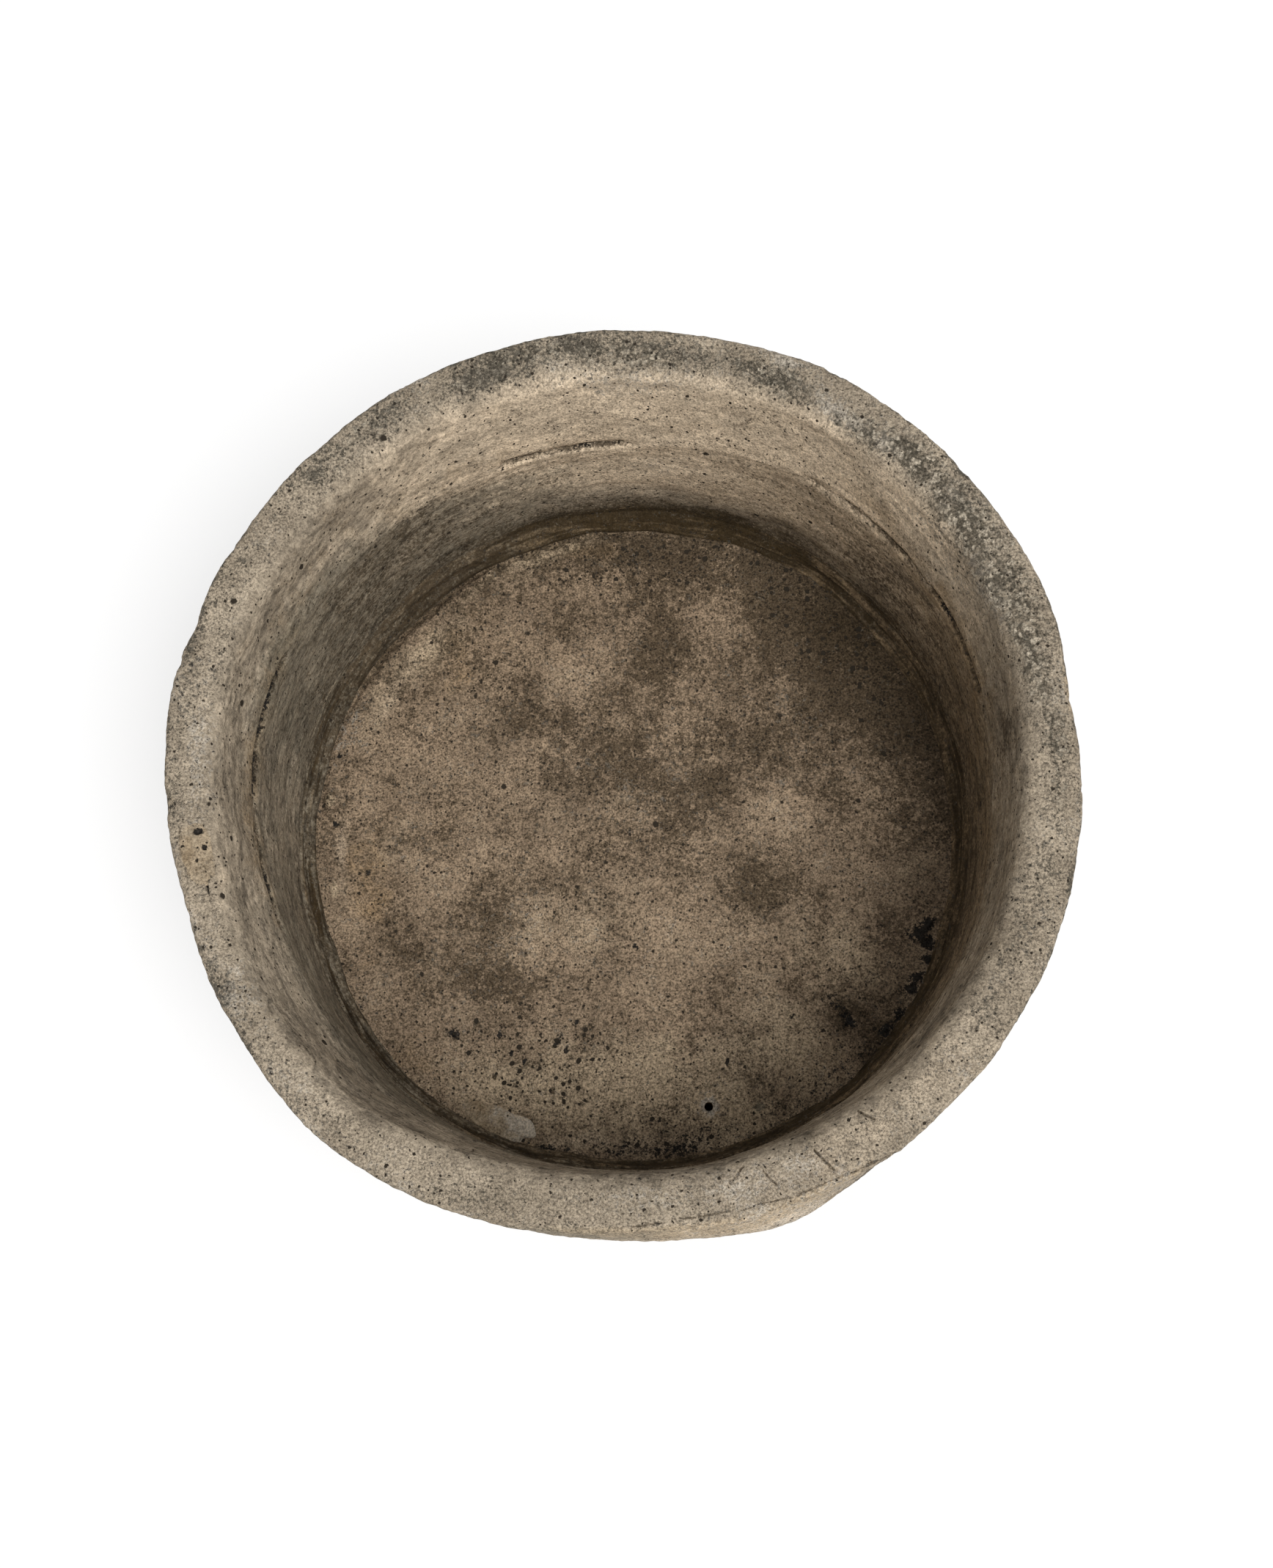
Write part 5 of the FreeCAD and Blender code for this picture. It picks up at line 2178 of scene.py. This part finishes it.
@dataclass
class LaidMortar(StonePiece):
    """Repair laid by hand in a wavy outline."""

    slot: Slot = Slot.MORTAR
    outline: LaidOutline = RIM_PATCH
    cells: int = 64
    depth: float = 14 * MM

    @property
    def level(self) -> float:
        """Height of the face that the mortar is laid on."""
        raise NotImplementedError

    def build(self) -> bmesh.types.BMesh:
        """Lays the mortar in its outline and closes it below.

        Returns:
            The clean repair.
        """
        form = round_sheet(self.cells)
        places = self.outline.lay(np.array([vert.co.xy for vert in form.verts]))
        for vert, (across, along) in zip(form.verts, places):
            vert.co = (across, along, self.level)
        close_below(form, self.level - self.depth)
        return form

    def _top(self, surface: Surface) -> np.ndarray:
        """Gives 1 on the upper face and 0 on the underside."""
        return rise(surface.height, self.level - self.depth, self.level)


@dataclass
class RimPatch(LaidMortar):
    """Repair let into the flat of the rim."""

    name: str = "rim_patch_weathered"
    node: str = "rim_patch"
    outline: LaidOutline = RIM_PATCH
    stain_scale: float = 60.0
    sink: float = 0.6 * MM

    @property
    def level(self) -> float:
        """Height of the rim."""
        return self.shape.top

    def sculpt(self, surface: Surface) -> None:
        """Sinks the patch to the worn rim and opens its blowholes.

        Args:
            surface: The patch's vertices.
        """
        shape, relief = self.shape, self.shop.relief
        start = shape.mouth_radius + shape.lip_setback
        over = np.clip(start - surface.radius, 0.0, None)
        worn = shape.lip_round - np.sqrt(shape.lip_round**2 - over**2)
        sunk = self.sink * (1.0 + rise(self.outline.reach(surface.rest), 0.80, 1.0))
        surface.lift(self._top(surface) * (relief.level(surface.rest) - worn - sunk))
        surface.add_dents(PATCH_HOLES, surface.upper)

    def paint(self, surface: Surface) -> None:
        """Stains the patch.

        Args:
            surface: The patch's vertices.
        """
        cloud = self.clouds(surface, self.stain_scale)
        surface.stain(Tint.FRESH, 0.68 + 0.5 * cloud)
        surface.stain(Tint.EARTH, 0.22 - 0.5 * cloud)
        surface.add_marks(PATCH_MARKS, surface.upper)


@dataclass
class FloorSmear(LaidMortar):
    """Trowelful of mortar that was dropped on the floor and spread."""

    name: str = "floor_smear_weathered"
    node: str = "floor_smear"
    outline: LaidOutline = FLOOR_SMEAR
    cells: int = 56
    depth: float = 2 * MM
    stain_scale: float = 40.0
    thickness: float = 3 * MM
    lump_scale: float = 70.0
    bare_from: float = 668.0
    bare_full: float = 722.0

    @property
    def level(self) -> float:
        """Height of the floor."""
        return self.shape.floor

    def sculpt(self, surface: Surface) -> None:
        """Raises the smear over the floor with a crisp lip.

        Args:
            surface: The smear's vertices.
        """
        body = 1.0 - rise(self.outline.reach(surface.rest), 0.88, 1.02)
        lumps = 0.75 + 0.5 * self.clouds(surface, self.lump_scale)
        height = self.shop.relief.level(surface.rest) + self.thickness * body * lumps
        surface.lift(self._top(surface) * height)

    def paint(self, surface: Surface) -> None:
        """Stains the smear, which is bare at its right end.

        Args:
            surface: The smear's vertices.
        """
        cloud = self.clouds(surface, self.stain_scale)
        bare = rise(surface.pixels[:, 0], self.bare_from, self.bare_full)
        surface.stain(Tint.FRESH, 0.70 - 0.60 * bare)
        surface.stain(Tint.EARTH, 0.42 - 0.42 * bare + 0.4 * cloud)
        surface.stain(Tint.PALE, 0.08 + 0.80 * bare - 1.1 * cloud)
        surface.stain(Tint.SAND, 0.10 + 0.55 * bare - 0.4 * cloud)


@dataclass(frozen=True)
class Studio:
    """Pale floor, soft sky and one broad even lamp from the near right."""

    sky: float = 0.42
    lamp_strength: float = 2.15
    lamp_spread: float = math.radians(36.0)
    lamp_azimuth: float = math.radians(312.0)
    lamp_elevation: float = math.radians(60.0)
    floor_half: float = 40.0
    floor_colour: Colour = (0.86, 0.86, 0.86)
    floor_shown: Colour = (0.55, 0.55, 0.55)
    floor_glow: float = 0.50
    covered: tuple[float, float] = (0.38, 0.42)

    @staticmethod
    def _shown(graph: Graph) -> bpy.types.NodeSocket:
        """Gives 1 for rays that show the background, straight or in a reflection."""
        path = graph.add("ShaderNodeLightPath")
        seen = graph.math("MAXIMUM", path.outputs["Is Camera Ray"], path.outputs["Is Glossy Ray"])
        return graph.math("MAXIMUM", seen, path.outputs["Is Transmission Ray"])

    def light(self) -> None:
        """Sets the sky and the lamp."""
        world = bpy.data.worlds.new("soft_sky")
        world.use_nodes = True
        bpy.context.scene.world = world
        graph = Graph(world.node_tree)
        back = world.node_tree.nodes["Background"]
        back.inputs["Color"].default_value = (1.0, 1.0, 1.0, 1.0)
        graph.fed(back, Strength=graph.remap(self._shown(graph), 0.0, 1.0, self.sky, 1.0))
        data = bpy.data.lights.new("broad_lamp", "SUN")
        data.energy = self.lamp_strength
        data.angle = self.lamp_spread
        level = math.cos(self.lamp_elevation)
        aim = Vector((
            level * math.cos(self.lamp_azimuth),
            level * math.sin(self.lamp_azimuth),
            math.sin(self.lamp_elevation),
        ))
        lamp = bpy.data.objects.new("broad_lamp", data)
        lamp.rotation_euler = aim.to_track_quat("Z", "Y").to_euler()
        bpy.context.collection.objects.link(lamp)

    def lay_floor(self) -> None:
        """Lays the pale floor that keeps the trough's shadow."""
        form = bmesh.new()
        bmesh.ops.create_grid(form, x_segments=1, y_segments=1, size=self.floor_half)
        mesh = bpy.data.meshes.new("studio_floor")
        form.to_mesh(mesh)
        form.free()
        material, graph, shader = start_material("studio_floor")
        shown = self._shown(graph)
        colour = graph.blend(shown, self.floor_colour, self.floor_shown)
        graph.plug(shader.inputs["Base Color"], colour)
        shader.inputs["Roughness"].default_value = 0.95
        shader.inputs["Specular IOR Level"].default_value = 0.0
        shader.inputs["Emission Color"].default_value = (1.0, 1.0, 1.0, 1.0)
        reach = graph.add("ShaderNodeVectorMath", operation="LENGTH")
        graph.plug(reach.inputs[0], graph.add("ShaderNodeTexCoord").outputs["Object"])
        open_floor = graph.remap(reach.outputs["Value"], *self.covered, 0.0, self.floor_glow)
        graph.plug(shader.inputs["Emission Strength"], graph.math("MULTIPLY", shown, open_floor))
        mesh.materials.append(material)
        floor = bpy.data.objects.new("studio_floor", mesh)
        bpy.context.collection.objects.link(floor)


IRON_NODES = ("foot_hoop", "lift_hoop", "rim_hoop", "wall_bars", "mat_bars_lower", "mat_bars_upper")


def dress_iron() -> None:
    """Gives the iron inside the stone its rust."""
    rust = RustFinish().material()
    for name in IRON_NODES:
        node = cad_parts[name]
        node.data.materials.clear()
        node.data.materials.append(rust)
        LOG.info("%s: rusted", name)


def main() -> None:
    """Builds, dresses and lights the trough."""
    logging.basicConfig(level=logging.INFO, format="%(name)s: %(message)s")
    bpy.context.scene.view_settings.view_transform = "Standard"
    groups = StoneGroups()
    view = PhotoView()
    shop = Workshop(
        shape=TroughShape.read_frame(),
        view=view,
        relief=FaceRelief(StoneNoise(seed=11)),
        wander=HandWander(),
        materials={slot: finish.material(groups) for slot, finish in FINISHES.items()},
    )
    for kind in (BaseSlab, LowerWall, RimCourse, FloorScreed, FootFillet, RimPatch, FloorSmear):
        kind(shop).make()
    dress_iron()
    studio = Studio()
    studio.light()
    studio.lay_floor()
    view.make_camera()


if __name__ == "__main__":
    main()
